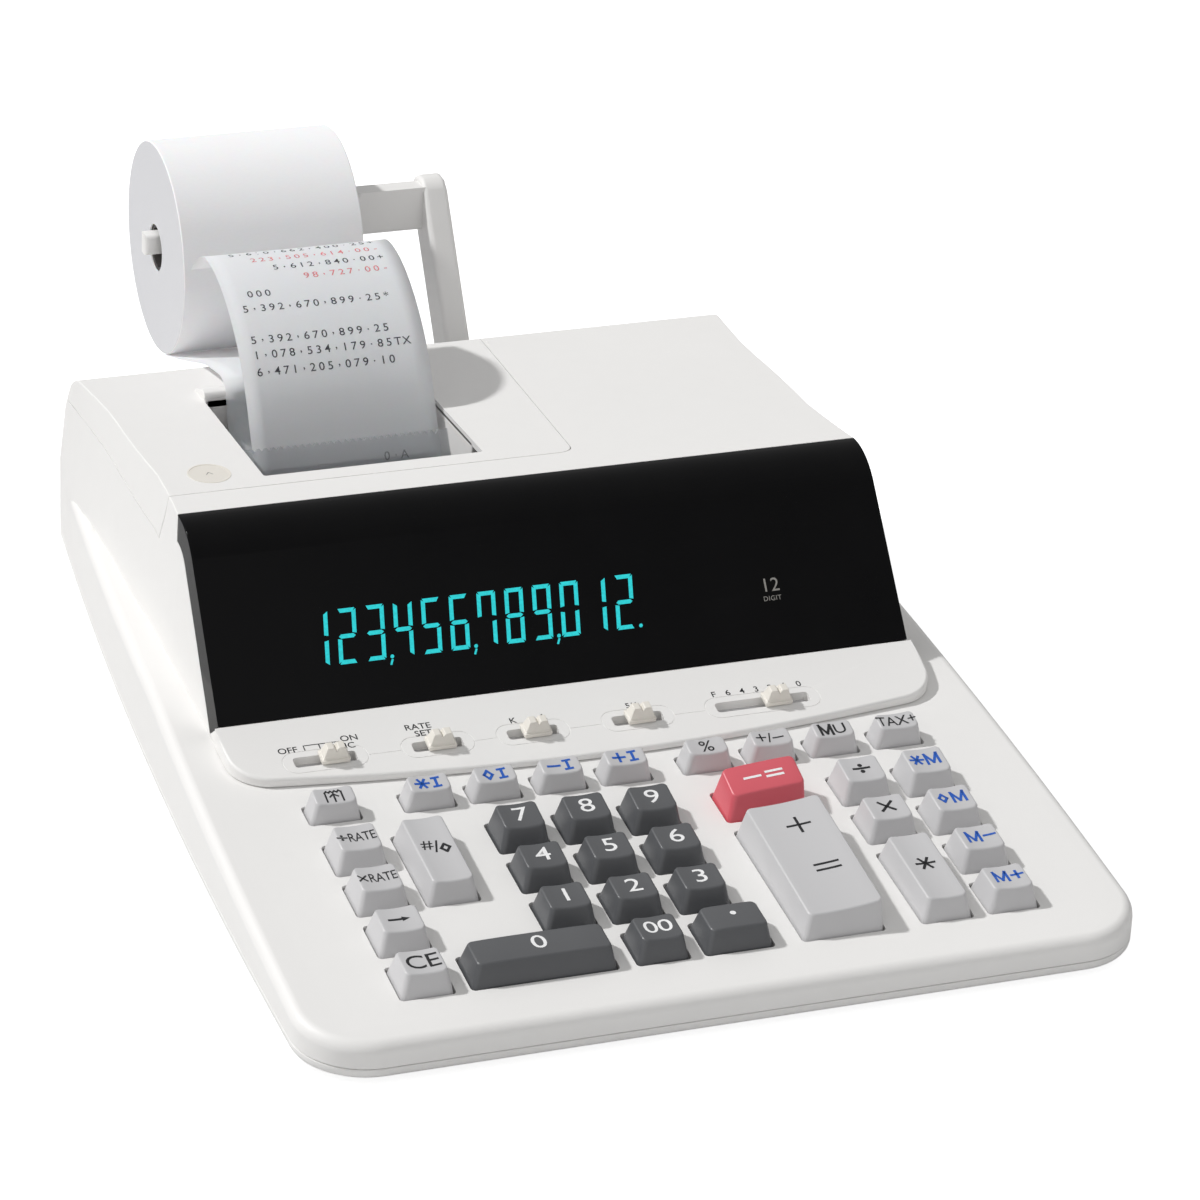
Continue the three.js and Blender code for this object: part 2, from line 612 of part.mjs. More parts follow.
// ---- paper arm: a flat bar on a rear pivot, with the shaft that carries the roll ----
const halfShaft = shaftWidth / 2;
const shaftTop = Math.sqrt((coreBore - gap) ** 2 - halfShaft ** 2);
const shaftBottom = shaftTop - shaftTipHeight;
const shaftAxis = [rollAxis[0], rollAxis[1] + shaftBottom + shaftRootHeight / 2];
const armReach = [shaftAxis[0] - armPivot[0], shaftAxis[1] - armPivot[1]];
const armLength = Math.hypot(...armReach);
const armUp = [armReach[0] / armLength, armReach[1] / armLength];
const armSide = [armUp[1], -armUp[0]];
const armPoint = (along, across) => [
  armPivot[0] + armUp[0] * along + armSide[0] * across,
  armPivot[1] + armUp[1] * along + armSide[1] * across,
];
const barOutline = [
  armPoint(0, -pivotBoss), armPoint(16, -armWidth / 2), armPoint(armLength + armHead - 3, -armWidth / 2),
  armPoint(armLength + armHead, -armWidth / 2 + 3), armPoint(armLength + armHead, armWidth / 2 - 3),
  armPoint(armLength + armHead - 3, armWidth / 2), armPoint(16, armWidth / 2), armPoint(0, pivotBoss),
];
let arm = prismX(barOutline, armLeft, armRight);
arm = arm.add(rodX(pivotBoss, armPivot, armLeft - 1.5, armRight + 1.5, 16));
arm = arm.add(rodX(pivotPin, armPivot, lugs[0][0] - 0.5, lugs[1][1] + 0.5, 16));

// a length of the shaft; each end is [x, height], and the underside is level all along
function shaftPiece([x0, height0], [x1, height1]) {
  const y = [rollAxis[0] - halfShaft, rollAxis[0] + halfShaft];
  const z = rollAxis[1] + shaftBottom;
  return prismY([[x0, z], [x1, z], [x1, z + height1], [x0, z + height0]], ...y);
}
const shaftTip = paperLeft - shaftOverhang;
const tipEnd = [shaftTip, shaftTipHeight];
const rollEnd = [paperRight + 2, shaftTipHeight];
const rootStart = [paperRight + 6, shaftRootHeight];
const rootEnd = [armLeft + 1, shaftRootHeight];
for (const [from, to] of [[tipEnd, rollEnd], [rollEnd, rootStart], [rootStart, rootEnd]]) {
  arm = arm.add(shaftPiece(from, to));
}
add('paper_arm', arm, 'shell');

// ---- the origin stands under the middle of the whole object ----
const backmost = rollAxis[0] + rollRadius;
calculator.position.y = -(frontY + backmost) / 2;

export default calculator;
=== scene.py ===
import bpy, bmesh, json, math
from mathutils import Matrix, Vector


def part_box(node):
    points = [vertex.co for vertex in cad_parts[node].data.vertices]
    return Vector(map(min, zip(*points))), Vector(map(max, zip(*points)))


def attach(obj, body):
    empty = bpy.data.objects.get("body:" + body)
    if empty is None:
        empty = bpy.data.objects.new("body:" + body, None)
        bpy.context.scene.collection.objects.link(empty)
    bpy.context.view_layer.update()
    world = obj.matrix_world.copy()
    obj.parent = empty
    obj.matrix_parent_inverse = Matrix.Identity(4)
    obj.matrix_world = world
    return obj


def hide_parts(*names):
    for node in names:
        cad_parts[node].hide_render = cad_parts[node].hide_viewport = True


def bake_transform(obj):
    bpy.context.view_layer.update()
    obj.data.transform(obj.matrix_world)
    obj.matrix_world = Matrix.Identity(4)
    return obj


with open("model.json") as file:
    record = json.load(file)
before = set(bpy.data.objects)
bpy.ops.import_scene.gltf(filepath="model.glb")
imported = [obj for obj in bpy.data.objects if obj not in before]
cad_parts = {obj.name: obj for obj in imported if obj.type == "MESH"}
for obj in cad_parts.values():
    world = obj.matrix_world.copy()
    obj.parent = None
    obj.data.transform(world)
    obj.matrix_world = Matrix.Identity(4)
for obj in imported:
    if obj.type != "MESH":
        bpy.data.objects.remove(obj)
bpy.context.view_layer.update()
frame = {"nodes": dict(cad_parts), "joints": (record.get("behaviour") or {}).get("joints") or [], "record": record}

# modelling is done in millimetres on the case's own centre, then set into the row frame in metres
mm = 0.001
caseLow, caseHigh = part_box("lower_case")
caseWidth = (caseHigh.x - caseLow.x) / mm
caseDepth = (caseHigh.y - caseLow.y) / mm
caseMiddle = (caseHigh.y + caseLow.y) / 2
frontY, rearY = -caseDepth / 2, caseDepth / 2
toRow = Matrix.Translation((0, caseMiddle, 0)) @ Matrix.Scale(mm, 4)
toMillimetres = toRow.inverted()
bpy.context.scene.view_settings.view_transform = "Standard"


# ---- camera ----
cameraView = {"place": (-438.3, -1193.1, 688.6), "lens": 150, "sensor": 36,
              "right": (0.941, -0.3357, 0.0439), "ahead": (0.3184, 0.8334, -0.4518)}
cameraData = bpy.data.cameras.new("camera")
cameraData.lens = cameraView["lens"]
cameraData.sensor_width = cameraView["sensor"]
cameraData.clip_end = 20
camera = bpy.data.objects.new("camera", cameraData)
bpy.context.scene.collection.objects.link(camera)
ahead = Vector(cameraView["ahead"]).normalized()
right = (Vector(cameraView["right"]) - ahead * ahead.dot(Vector(cameraView["right"]))).normalized()
turn = Matrix((right, ahead.cross(right) * -1, -ahead)).transposed().to_4x4()
camera.matrix_world = Matrix.Translation(toRow @ Vector(cameraView["place"])) @ turn
bpy.context.scene.camera = camera


# ---- floor, backdrop and studio light ----
studio = {"sunTravel": (0.81, -0.53, -1.0), "sunPower": 2.3, "sunSoftness": 3.5, "fill": 0.42,
          "frontTravel": (0.3, 0.9, -0.4), "frontPower": 0.42, "frontSoftness": 85}
for lightName, which in (("keyLight", "sun"), ("frontLight", "front")):
    sunData = bpy.data.lights.new(lightName, "SUN")
    sunData.energy = studio[which + "Power"]
    sunData.angle = math.radians(studio[which + "Softness"])
    sun = bpy.data.objects.new(lightName, sunData)
    sun.rotation_euler = Vector(studio[which + "Travel"]).to_track_quat("-Z", "Y").to_euler()
    bpy.context.scene.collection.objects.link(sun)

world = bpy.data.worlds.new("studio")
world.use_nodes = True
world.node_tree.nodes["Background"].inputs["Color"].default_value = (1, 1, 1, 1)
world.node_tree.nodes["Background"].inputs["Strength"].default_value = studio["fill"]
bpy.context.scene.world = world


# ---- node groups shared by the materials ----
def newGroup(name, inputs, outputs):
    group = bpy.data.node_groups.new(name, "ShaderNodeTree")
    for label, kind, value in inputs:
        socket = group.interface.new_socket(label, in_out="INPUT", socket_type="NodeSocket" + kind)
        socket.default_value = value
    for label, kind in outputs:
        group.interface.new_socket(label, in_out="OUTPUT", socket_type="NodeSocket" + kind)
    return group, group.nodes.new("NodeGroupInput"), group.nodes.new("NodeGroupOutput")


def addNode(tree, kind, settings=None, **inputs):
    node = tree.nodes.new("ShaderNode" + kind)
    for key, value in (settings or {}).items():
        setattr(node, key, value)
    for key, value in inputs.items():
        numbered = key[0] == "i" and key[1:].isdigit()
        socket = node.inputs[int(key[1:]) if numbered else key.replace("_", " ")]
        if isinstance(value, bpy.types.NodeSocket):
            tree.links.new(value, socket)
        else:
            socket.default_value = value
    return node


def makeGrain():
    # moulded texture: fine bumps, slow colour drift and uneven gloss
    group, given, out = newGroup("mouldedGrain", [
        ("Color", "Color", (1, 1, 1, 1)), ("Roughness", "Float", 0.5), ("Grain Scale", "Float", 900.0),
        ("Grain Depth", "Float", 0.1), ("Drift", "Float", 0.03)],
        [("Color", "Color"), ("Roughness", "Float"), ("Normal", "Vector")])
    where = addNode(group, "TexCoord").outputs["Object"]
    fine = addNode(group, "TexNoise", Vector=where, Scale=given.outputs["Grain Scale"], Detail=3.0)
    slow = addNode(group, "TexNoise", Vector=where, Scale=14.0, Detail=4.0, Roughness=0.6)
    shift = addNode(group, "Math", {"operation": "MULTIPLY_ADD"}, i0=slow.outputs["Fac"], i1=2.0, i2=-1.0)
    drift = addNode(group, "Math", {"operation": "MULTIPLY"}, i0=shift.outputs[0], i1=given.outputs["Drift"])
    value = addNode(group, "Math", {"operation": "ADD"}, i0=drift.outputs[0], i1=1.0)
    tint = addNode(group, "HueSaturation", Value=value.outputs[0], Color=given.outputs["Color"])
    gloss = addNode(group, "Math", {"operation": "MULTIPLY_ADD"}, i0=drift.outputs[0], i1=2.5,
                    i2=given.outputs["Roughness"])
    bump = addNode(group, "Bump", Strength=given.outputs["Grain Depth"], Distance=0.0002, Height=fine.outputs["Fac"])
    group.links.new(tint.outputs[0], out.inputs["Color"])
    group.links.new(gloss.outputs[0], out.inputs["Roughness"])
    group.links.new(bump.outputs[0], out.inputs["Normal"])
    return group


def makeWear():
    # handled edges go a little paler with wear; recesses found by pointiness go darker, which is painted shade
    group, given, out = newGroup("edgeWear", [
        ("Color", "Color", (1, 1, 1, 1)), ("Edge Color", "Color", (1, 1, 1, 1)),
        ("Dirt Color", "Color", (0.3, 0.28, 0.25, 1)), ("Amount", "Float", 0.3)], [("Color", "Color")])
    point = addNode(group, "NewGeometry").outputs["Pointiness"]
    proud = addNode(group, "MapRange", i0=point, i1=0.52, i2=0.6, i3=0.0, i4=1.0)
    # concave places by pointiness: this mask paints shade into the recesses
    sunk = addNode(group, "MapRange", i0=point, i1=0.48, i2=0.4, i3=0.0, i4=1.0)
    where = addNode(group, "TexCoord").outputs["Object"]
    patchy = addNode(group, "TexNoise", Vector=where, Scale=160.0, Detail=4.0)
    edge = addNode(group, "Math", {"operation": "MULTIPLY"}, i0=proud.outputs[0], i1=patchy.outputs["Fac"])
    edge = addNode(group, "Math", {"operation": "MULTIPLY"}, i0=edge.outputs[0], i1=given.outputs["Amount"])
    # painted shade: recesses darken evenly towards the shade colour
    recessShade = addNode(group, "Math", {"operation": "MULTIPLY"}, i0=sunk.outputs[0], i1=given.outputs["Amount"])
    pale = addNode(group, "MixRGB", Fac=edge.outputs[0], Color1=given.outputs["Color"],
                   Color2=given.outputs["Edge Color"])
    recessShaded = addNode(group, "MixRGB", Fac=recessShade.outputs[0], Color1=pale.outputs[0], Color2=given.outputs["Dirt Color"])
    group.links.new(recessShaded.outputs[0], out.inputs["Color"])
    return group


def makeDust():
    # a thin film that settles on faces that look up
    group, given, out = newGroup("settledDust", [
        ("Color", "Color", (1, 1, 1, 1)), ("Dust Color", "Color", (0.6, 0.58, 0.55, 1)), ("Amount", "Float", 0.05)],
        [("Color", "Color"), ("Mask", "Float")])
    up = addNode(group, "SeparateXYZ", Vector=addNode(group, "NewGeometry").outputs["Normal"]).outputs["Z"]
    where = addNode(group, "TexCoord").outputs["Object"]
    patch = addNode(group, "TexNoise", Vector=where, Scale=60.0, Detail=6.0, Roughness=0.7)
    flat = addNode(group, "MapRange", i0=up, i1=0.4, i2=1.0, i3=0.0, i4=1.0)
    mask = addNode(group, "Math", {"operation": "MULTIPLY"}, i0=flat.outputs[0], i1=patch.outputs["Fac"])
    mask = addNode(group, "Math", {"operation": "MULTIPLY"}, i0=mask.outputs[0], i1=given.outputs["Amount"])
    mixed = addNode(group, "MixRGB", Fac=mask.outputs[0], Color1=given.outputs["Color"],
                    Color2=given.outputs["Dust Color"])
    group.links.new(mixed.outputs[0], out.inputs["Color"])
    group.links.new(mask.outputs[0], out.inputs["Mask"])
    return group


grainGroup, wearAndShadeGroup, dustGroup = makeGrain(), makeWear(), makeDust()


# ---- materials ----
def startMaterial(name):
    material = bpy.data.materials.new(name)
    material.use_nodes = True
    tree = material.node_tree
    return material, tree, tree.nodes["Principled BSDF"]


def useGroup(tree, group, **inputs):
    return addNode(tree, "Group", {"node_tree": group}, **inputs)


def plastic(name, color, roughness=0.45, grain=900.0, depth=0.1, drift=0.03, wearAndShade=0.2, edge=None, dust=0.04, coat=0.0):
    material, tree, shader = startMaterial(name)
    pale = edge or tuple(min(c * 1.12 + 0.03, 1) for c in color)
    grained = useGroup(tree, grainGroup, Color=(*color, 1), Roughness=roughness, Grain_Scale=grain,
                       Grain_Depth=depth, Drift=drift)
    # painted shade colour for the recesses: the plastic's own colour at 55 percent
    dark = tuple(c * 0.55 for c in color)
    worn = useGroup(tree, wearAndShadeGroup, Color=grained.outputs["Color"], Edge_Color=(*pale, 1),
                    Dirt_Color=(*dark, 1), Amount=wearAndShade)
    dusty = useGroup(tree, dustGroup, Color=worn.outputs["Color"], Amount=dust)
    tree.links.new(dusty.outputs["Color"], shader.inputs["Base Color"])
    tree.links.new(grained.outputs["Roughness"], shader.inputs["Roughness"])
    tree.links.new(grained.outputs["Normal"], shader.inputs["Normal"])
    shader.inputs["Coat Weight"].default_value = coat
    shader.inputs["Coat Roughness"].default_value = 0.15
    return material


def printedInk(name, color, roughness=0.55, patch=0.15):
    material, tree, shader = startMaterial(name)
    where = addNode(tree, "TexCoord").outputs["Object"]
    speck = addNode(tree, "TexNoise", Vector=where, Scale=1800.0, Detail=2.0)
    ramp = addNode(tree, "MapRange", i0=speck.outputs["Fac"], i1=0.3, i2=0.7, i3=1 - patch, i4=1 + patch)
    tint = addNode(tree, "HueSaturation", Value=ramp.outputs[0], Color=(*color, 1))
    tree.links.new(tint.outputs[0], shader.inputs["Base Color"])
    shader.inputs["Roughness"].default_value = roughness
    return material


def glossyLens(name):
    # smoked acrylic: deep black with a hard clear surface, fine wipe marks in its gloss
    material, tree, shader = startMaterial(name)
    where = addNode(tree, "TexCoord").outputs["Object"]
    wipe = addNode(tree, "TexNoise", Vector=where, Scale=35.0, Detail=8.0, Roughness=0.75)
    haze = addNode(tree, "MapRange", i0=wipe.outputs["Fac"], i1=0.35, i2=0.75, i3=0.09, i4=0.2)
    tint = addNode(tree, "MixRGB", Fac=wipe.outputs["Fac"], Color1=(0.0015, 0.0015, 0.0018, 1),
                   Color2=(0.003, 0.003, 0.0035, 1))
    dusty = useGroup(tree, dustGroup, Color=tint.outputs[0], Amount=0.006)
    tree.links.new(dusty.outputs["Color"], shader.inputs["Base Color"])
    tree.links.new(haze.outputs[0], shader.inputs["Roughness"])
    shader.inputs["Specular IOR Level"].default_value = 0.1
    return material


def clearPlastic(name):
    material, tree, shader = startMaterial(name)
    where = addNode(tree, "TexCoord").outputs["Object"]
    haze = addNode(tree, "TexNoise", Vector=where, Scale=220.0, Detail=4.0)
    rough = addNode(tree, "MapRange", i0=haze.outputs["Fac"], i1=0.3, i2=0.7, i3=0.08, i4=0.2)
    tree.links.new(rough.outputs[0], shader.inputs["Roughness"])
    shader.inputs["Base Color"].default_value = (0.86, 0.88, 0.9, 1)
    shader.inputs["Transmission Weight"].default_value = 0.85
    shader.inputs["IOR"].default_value = 1.49
    return material


def paperSheet(name, color=(0.95, 0.95, 0.962), through=0.0):
    # uncoated paper: faint fibres and slow waviness; a thin sheet also passes some light through
    material, tree, shader = startMaterial(name)
    where = addNode(tree, "TexCoord").outputs["Object"]
    stretch = addNode(tree, "Mapping", Vector=where, Scale=(1.0, 3.0, 3.0))
    fibre = addNode(tree, "TexNoise", Vector=stretch.outputs[0], Scale=700.0, Detail=6.0, Roughness=0.7)
    grained = useGroup(tree, grainGroup, Color=(*color, 1), Roughness=0.85, Grain_Scale=1400.0,
                       Grain_Depth=0.05, Drift=0.012)
    value = addNode(tree, "MapRange", i0=fibre.outputs["Fac"], i1=0.25, i2=0.75, i3=0.975, i4=1.015)
    tint = addNode(tree, "HueSaturation", Value=value.outputs[0], Color=grained.outputs["Color"])
    tree.links.new(tint.outputs[0], shader.inputs["Base Color"])
    tree.links.new(grained.outputs["Roughness"], shader.inputs["Roughness"])
    tree.links.new(grained.outputs["Normal"], shader.inputs["Normal"])
    shader.inputs["Subsurface Weight"].default_value = 0.15
    shader.inputs["Subsurface Scale"].default_value = 0.001
    if through:
        glow = addNode(tree, "BsdfTranslucent", Color=(*color, 1))
        mixed = addNode(tree, "MixShader", i0=through, i1=shader.outputs[0], i2=glow.outputs[0])
        tree.links.new(mixed.outputs[0], tree.nodes["Material Output"].inputs["Surface"])
    return material


def rollSide(name, centre):
    # the wound edge of the roll: fine rings about its axis
    material, tree, shader = startMaterial(name)
    where = addNode(tree, "TexCoord").outputs["Object"]
    centred = addNode(tree, "Mapping", Vector=where, Location=(0, -centre[1], -centre[2]))
    flat = addNode(tree, "VectorMath", {"operation": "MULTIPLY"}, i0=centred.outputs[0], i1=(0, 1, 1))
    radius = addNode(tree, "VectorMath", {"operation": "LENGTH"}, i0=flat.outputs[0]).outputs["Value"]
    line = addNode(tree, "CombineXYZ", X=radius)
    rings = addNode(tree, "TexNoise", Vector=line.outputs[0], Scale=2400.0, Detail=4.0, Roughness=0.8)
    tone = addNode(tree, "MapRange", i0=rings.outputs["Fac"], i1=0.25, i2=0.75, i3=0.93, i4=1.02)
    tint = addNode(tree, "HueSaturation", Value=tone.outputs[0], Color=(0.70, 0.70, 0.72, 1))
    bump = addNode(tree, "Bump", Strength=0.2, Distance=0.0002, Height=rings.outputs["Fac"])
    tree.links.new(tint.outputs[0], shader.inputs["Base Color"])
    tree.links.new(bump.outputs[0], shader.inputs["Normal"])
    shader.inputs["Roughness"].default_value = 0.8
    return material


def metalSheet(name, color=(0.62, 0.63, 0.65), roughness=0.35):
    material, tree, shader = startMaterial(name)
    where = addNode(tree, "TexCoord").outputs["Object"]
    brushed = addNode(tree, "Mapping", Vector=where, Scale=(1.0, 30.0, 30.0))
    lines = addNode(tree, "TexNoise", Vector=brushed.outputs[0], Scale=90.0, Detail=6.0)
    rough = addNode(tree, "MapRange", i0=lines.outputs["Fac"], i1=0.2, i2=0.8, i3=roughness - 0.1, i4=roughness + 0.15)
    # paler worn edges, and painted shade in the recesses in the group's default colour
    worn = useGroup(tree, wearAndShadeGroup, Color=(*color, 1), Edge_Color=(0.8, 0.8, 0.82, 1), Amount=0.4)
    tree.links.new(worn.outputs["Color"], shader.inputs["Base Color"])
    tree.links.new(rough.outputs[0], shader.inputs["Roughness"])
    shader.inputs["Metallic"].default_value = 1.0
    return material


def glowing(name, color, strength):
    material, tree, shader = startMaterial(name)
    where = addNode(tree, "TexCoord").outputs["Object"]
    cell = addNode(tree, "TexNoise", Vector=where, Scale=1500.0, Detail=2.0)
    level = addNode(tree, "MapRange", i0=cell.outputs["Fac"], i1=0.3, i2=0.7, i3=0.85, i4=1.1)
    tint = addNode(tree, "HueSaturation", Value=level.outputs[0], Color=(*color, 1))
    tree.links.new(tint.outputs[0], shader.inputs["Emission Color"])
    shader.inputs["Emission Strength"].default_value = strength
    shader.inputs["Base Color"].default_value = (0.01, 0.05, 0.05, 1)
    shader.inputs["Roughness"].default_value = 0.6
    return material


rollLow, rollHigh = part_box("paper_roll")
rollCentre = (rollLow + rollHigh) / 2
mats = {
    "shell": plastic("shellPlastic", (0.84, 0.83, 0.815), 0.5, 1100.0, 0.12, 0.012, 0.12, dust=0.02),
    "lightKey": plastic("lightKeyPlastic", (0.565, 0.56, 0.568), 0.38, 1500.0, 0.04, 0.012, 0.25, dust=0.02),
    "darkKey": plastic("darkKeyPlastic", (0.093, 0.096, 0.102), 0.36, 1500.0, 0.04, 0.02, 0.25, dust=0.04),
    "redKey": plastic("redKeyPlastic", (0.66, 0.105, 0.135), 0.36, 1500.0, 0.04, 0.015, 0.25, dust=0.03),
    "knob": plastic("knobPlastic", (0.80, 0.765, 0.70), 0.42, 1300.0, 0.06, 0.012, 0.2, dust=0.02),
    "lens": glossyLens("smokedLens"),
    "clear": clearPlastic("clearTearBar"),
    "paper": paperSheet("receiptPaper"),
    "thinPaper": paperSheet("receiptSheet", through=0.42),
    "paperSide": rollSide("rollWoundEdge", rollCentre),
    "core": plastic("corePlastic", (0.035, 0.03, 0.028), 0.5, 800.0, 0.15, 0.03, 0.3),
    "rubber": plastic("feedRubber", (0.03, 0.03, 0.032), 0.75, 700.0, 0.25, 0.05, 0.2, dust=0.1),
    "ink": plastic("inkFelt", (0.035, 0.02, 0.05), 0.9, 500.0, 0.5, 0.1, 0.1, dust=0.0),
    "dark": plastic("blackPlastic", (0.03, 0.03, 0.033), 0.5, 900.0, 0.12, 0.03, 0.2),
    "board": plastic("circuitBoard", (0.03, 0.16, 0.07), 0.4, 300.0, 0.2, 0.08, 0.2),
    "metal": metalSheet("platedSheet"),
    "tube": plastic("displayTubeGlass", (0.02, 0.04, 0.045), 0.12, 200.0, 0.0, 0.02, 0.0, coat=0.5),
    "inkBlack": printedInk("legendBlack", (0.012, 0.012, 0.014)),
    "inkBlue": printedInk("legendBlue", (0.012, 0.10, 0.48)),
    "inkWhite": printedInk("legendWhite", (0.86, 0.86, 0.86), patch=0.05),
    "inkGrey": printedInk("lensLegend", (0.3, 0.29, 0.27)),
    "ribbonBlack": printedInk("ribbonBlack", (0.055, 0.055, 0.065), 0.8, 0.6),
    "ribbonRed": printedInk("ribbonRed", (0.72, 0.22, 0.24), 0.8, 0.4),
    "glow": glowing("displayGlow", (0.01, 0.62, 0.66), 0.95),
}
print("materials ready")


# ---- mesh helpers, all in millimetres ----
def arc(centre, radius, start, end, steps):
    points = []
    for i in range(steps + 1):
        angle = math.radians(start + (end - start) * i / steps)
        points.append((centre[0] + radius * math.cos(angle), centre[1] + radius * math.sin(angle)))
    return points


def prism(points, axis, low, high):
    # an outline swept along x, y or z
    bm = bmesh.new()
    spot = {"x": lambda a, b: (low, a, b), "y": lambda a, b: (a, low, b), "z": lambda a, b: (a, b, low)}[axis]
    face = bm.faces.new([bm.verts.new(spot(a, b)) for a, b in points])
    grown = bmesh.ops.extrude_face_region(bm, geom=[face])
    moved = [item for item in grown["geom"] if isinstance(item, bmesh.types.BMVert)]
    step = Vector((axis == "x", axis == "y", axis == "z")) * (high - low)
    bmesh.ops.translate(bm, verts=moved, vec=step)
    bmesh.ops.recalc_face_normals(bm, faces=bm.faces)
    return bm


def roundEdges(bm, pick, offset, segments):
    edges = [edge for edge in bm.edges if len(edge.link_faces) == 2 and pick(edge)]
    bmesh.ops.bevel(bm, geom=edges, offset=offset, offset_type="OFFSET", affect="EDGES", segments=segments,
                    profile=0.5, material=-1, clamp_overlap=True)
    return bm


def slice(bm, point, normal):
    # keeps what lies behind the plane and closes the cut
    cut = bmesh.ops.bisect_plane(bm, geom=[*bm.verts, *bm.edges, *bm.faces], dist=0.0001, plane_co=point,
                                 plane_no=normal, clear_outer=True)
    rim = [item for item in cut["geom_cut"] if isinstance(item, bmesh.types.BMEdge)]
    bmesh.ops.contextual_create(bm, geom=rim)
    bmesh.ops.recalc_face_normals(bm, faces=bm.faces)
    return bm


def cutAcross(bm, point, normal):
    # a loop of new edges where the plane passes, with nothing taken away
    bmesh.ops.bisect_plane(bm, geom=[*bm.verts, *bm.edges, *bm.faces], dist=0.0001, plane_co=point, plane_no=normal)


def roundedBox(low, high, corner=0.0, steps=4, axis="z"):
    # a block with its four edges along the axis rounded
    order = {"x": (1, 2, 0), "y": (0, 2, 1), "z": (0, 1, 2)}[axis]
    a0, a1 = low[order[0]], high[order[0]]
    b0, b1 = low[order[1]], high[order[1]]
    if corner <= 0:
        points = [(a0, b0), (a1, b0), (a1, b1), (a0, b1)]
    else:
        middles = [(a1 - corner, b0 + corner), (a1 - corner, b1 - corner),
                   (a0 + corner, b1 - corner), (a0 + corner, b0 + corner)]
        points = [point for i, middle in enumerate(middles)
                  for point in arc(middle, corner, 90 * i - 90, 90 * i, steps)]
    return prism(points, axis, low[order[2]], high[order[2]])


def toObject(bm, name="part"):
    mesh = bpy.data.meshes.new(name)
    bm.to_mesh(mesh)
    bm.free()
    made = bpy.data.objects.new(name, mesh)
    bpy.context.scene.collection.objects.link(made)
    return made


def combine(base, tool, how="DIFFERENCE"):
    base = base if isinstance(base, bpy.types.Object) else toObject(base)
    tool = tool if isinstance(tool, bpy.types.Object) else toObject(tool)
    step = base.modifiers.new("combine", "BOOLEAN")
    step.object, step.operation, step.solver = tool, how, "EXACT"
    solid = bpy.data.meshes.new_from_object(base.evaluated_get(bpy.context.evaluated_depsgraph_get()))
    base.modifiers.clear()
    base.data = solid
    bpy.data.objects.remove(tool)
    return base


def joined(meshes):
    # several bmeshes in one, each kept as a separate body
    whole = meshes[0]
    for other in meshes[1:]:
        carrier = bpy.data.meshes.new("carrier")
        other.to_mesh(carrier)
        other.free()
        whole.from_mesh(carrier)
        bpy.data.meshes.remove(carrier)
    return whole


def finishPiece(made, name, body, materials, replaces=(), bevel=0.0, angle=32, place=None, segments=2):
    made = made if isinstance(made, bpy.types.Object) else toObject(made)
    made.name = name
    made.data.name = name
    made.data.transform(toRow @ place if place else toRow)
    for key in materials:
        made.data.materials.append(mats[key])
    made.data.shade_smooth()
    made.data.set_sharp_from_angle(angle=math.radians(angle))
    if bevel:
        soft = made.modifiers.new("softEdges", "BEVEL")
        soft.width, soft.segments, soft.limit_method = bevel * mm, segments, "ANGLE"
        soft.angle_limit = math.radians(angle)
        soft.use_clamp_overlap = True
        level = made.modifiers.new("levelNormals", "WEIGHTED_NORMAL")
        level.keep_sharp = True
    if body:
        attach(made, body)
    if replaces:
        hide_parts(*replaces)
    return made


def shapeText(body, size, spread=1.0, weight=0.0, align="CENTER"):
    # flat lettering on the xy plane, centred on the origin
    curve = bpy.data.curves.new("lettering", "FONT")
    curve.body, curve.size, curve.align_x, curve.align_y = body, size, align, "CENTER"
    curve.space_character, curve.offset, curve.resolution_u = spread, weight, 4
    holder = bpy.data.objects.new("lettering", curve)
    bpy.context.scene.collection.objects.link(holder)
    mesh = bpy.data.meshes.new_from_object(holder.evaluated_get(bpy.context.evaluated_depsgraph_get()))
    bm = bmesh.new()
    bm.from_mesh(mesh)
    bpy.data.objects.remove(holder)
    bmesh.ops.remove_doubles(bm, verts=bm.verts, dist=0.0001)
    bmesh.ops.triangulate(bm, faces=bm.faces)
    return bm


def bar(start, end, width):
    # one flat stroke between two points of the xy plane
    start, end = Vector((*start, 0)), Vector((*end, 0))
    across = (end - start).normalized().cross(Vector((0, 0, 1))) * width / 2
    bm = bmesh.new()
    bm.faces.new([bm.verts.new(p) for p in (start + across, end + across, end - across, start - across)])
    bmesh.ops.reverse_faces(bm, faces=[f for f in bm.faces if f.normal.z < 0])
    return bm


def strokes(lines, width):
    # joined strokes: each line is a run of points, drawn a little past its ends so that corners close
    pieces = []
    for run in lines:
        for a, b in zip(run, run[1:]):
            ahead = (Vector(b) - Vector(a)).normalized() * width / 2
            pieces.append(bar(Vector(a) - ahead, Vector(b) + ahead, width))
    return joined(pieces)


# ---- shapes of the case ----
shell = {"wall": 2.2, "bottom": 5.4, "frontCorner": 20, "rearCorner": 14, "bow": 2530, "rim": 3.2,
         "deckTilt": 5, "deckFront": 12.4, "ledge": 27.5, "gap": 0.3}
hump = {"foot": (-26, 31), "lensAngle": 50.5, "lensLength": 47.2, "topRound": 18.8, "topFall": 4.24, "topLength": 110,
        "halfTop": 99.5, "halfBottom": 103, "sideRound": 4.0, "backSlope": 62, "backRound": 12,
        "bowFrom": 20, "bowMiddle": 76, "bowReach": 53, "bowOut": 0.6, "bowIn": 2.9}
deckTurn = Matrix.Rotation(math.radians(shell["deckTilt"]), 4, "X")


def halfWidthAt(y):
    return caseWidth / 2 - max(y - (frontY + 37), 0) ** 2 / (2 * shell["bow"])


def deckAt(y):
    return shell["deckFront"] + (y - frontY) * math.tan(math.radians(shell["deckTilt"]))


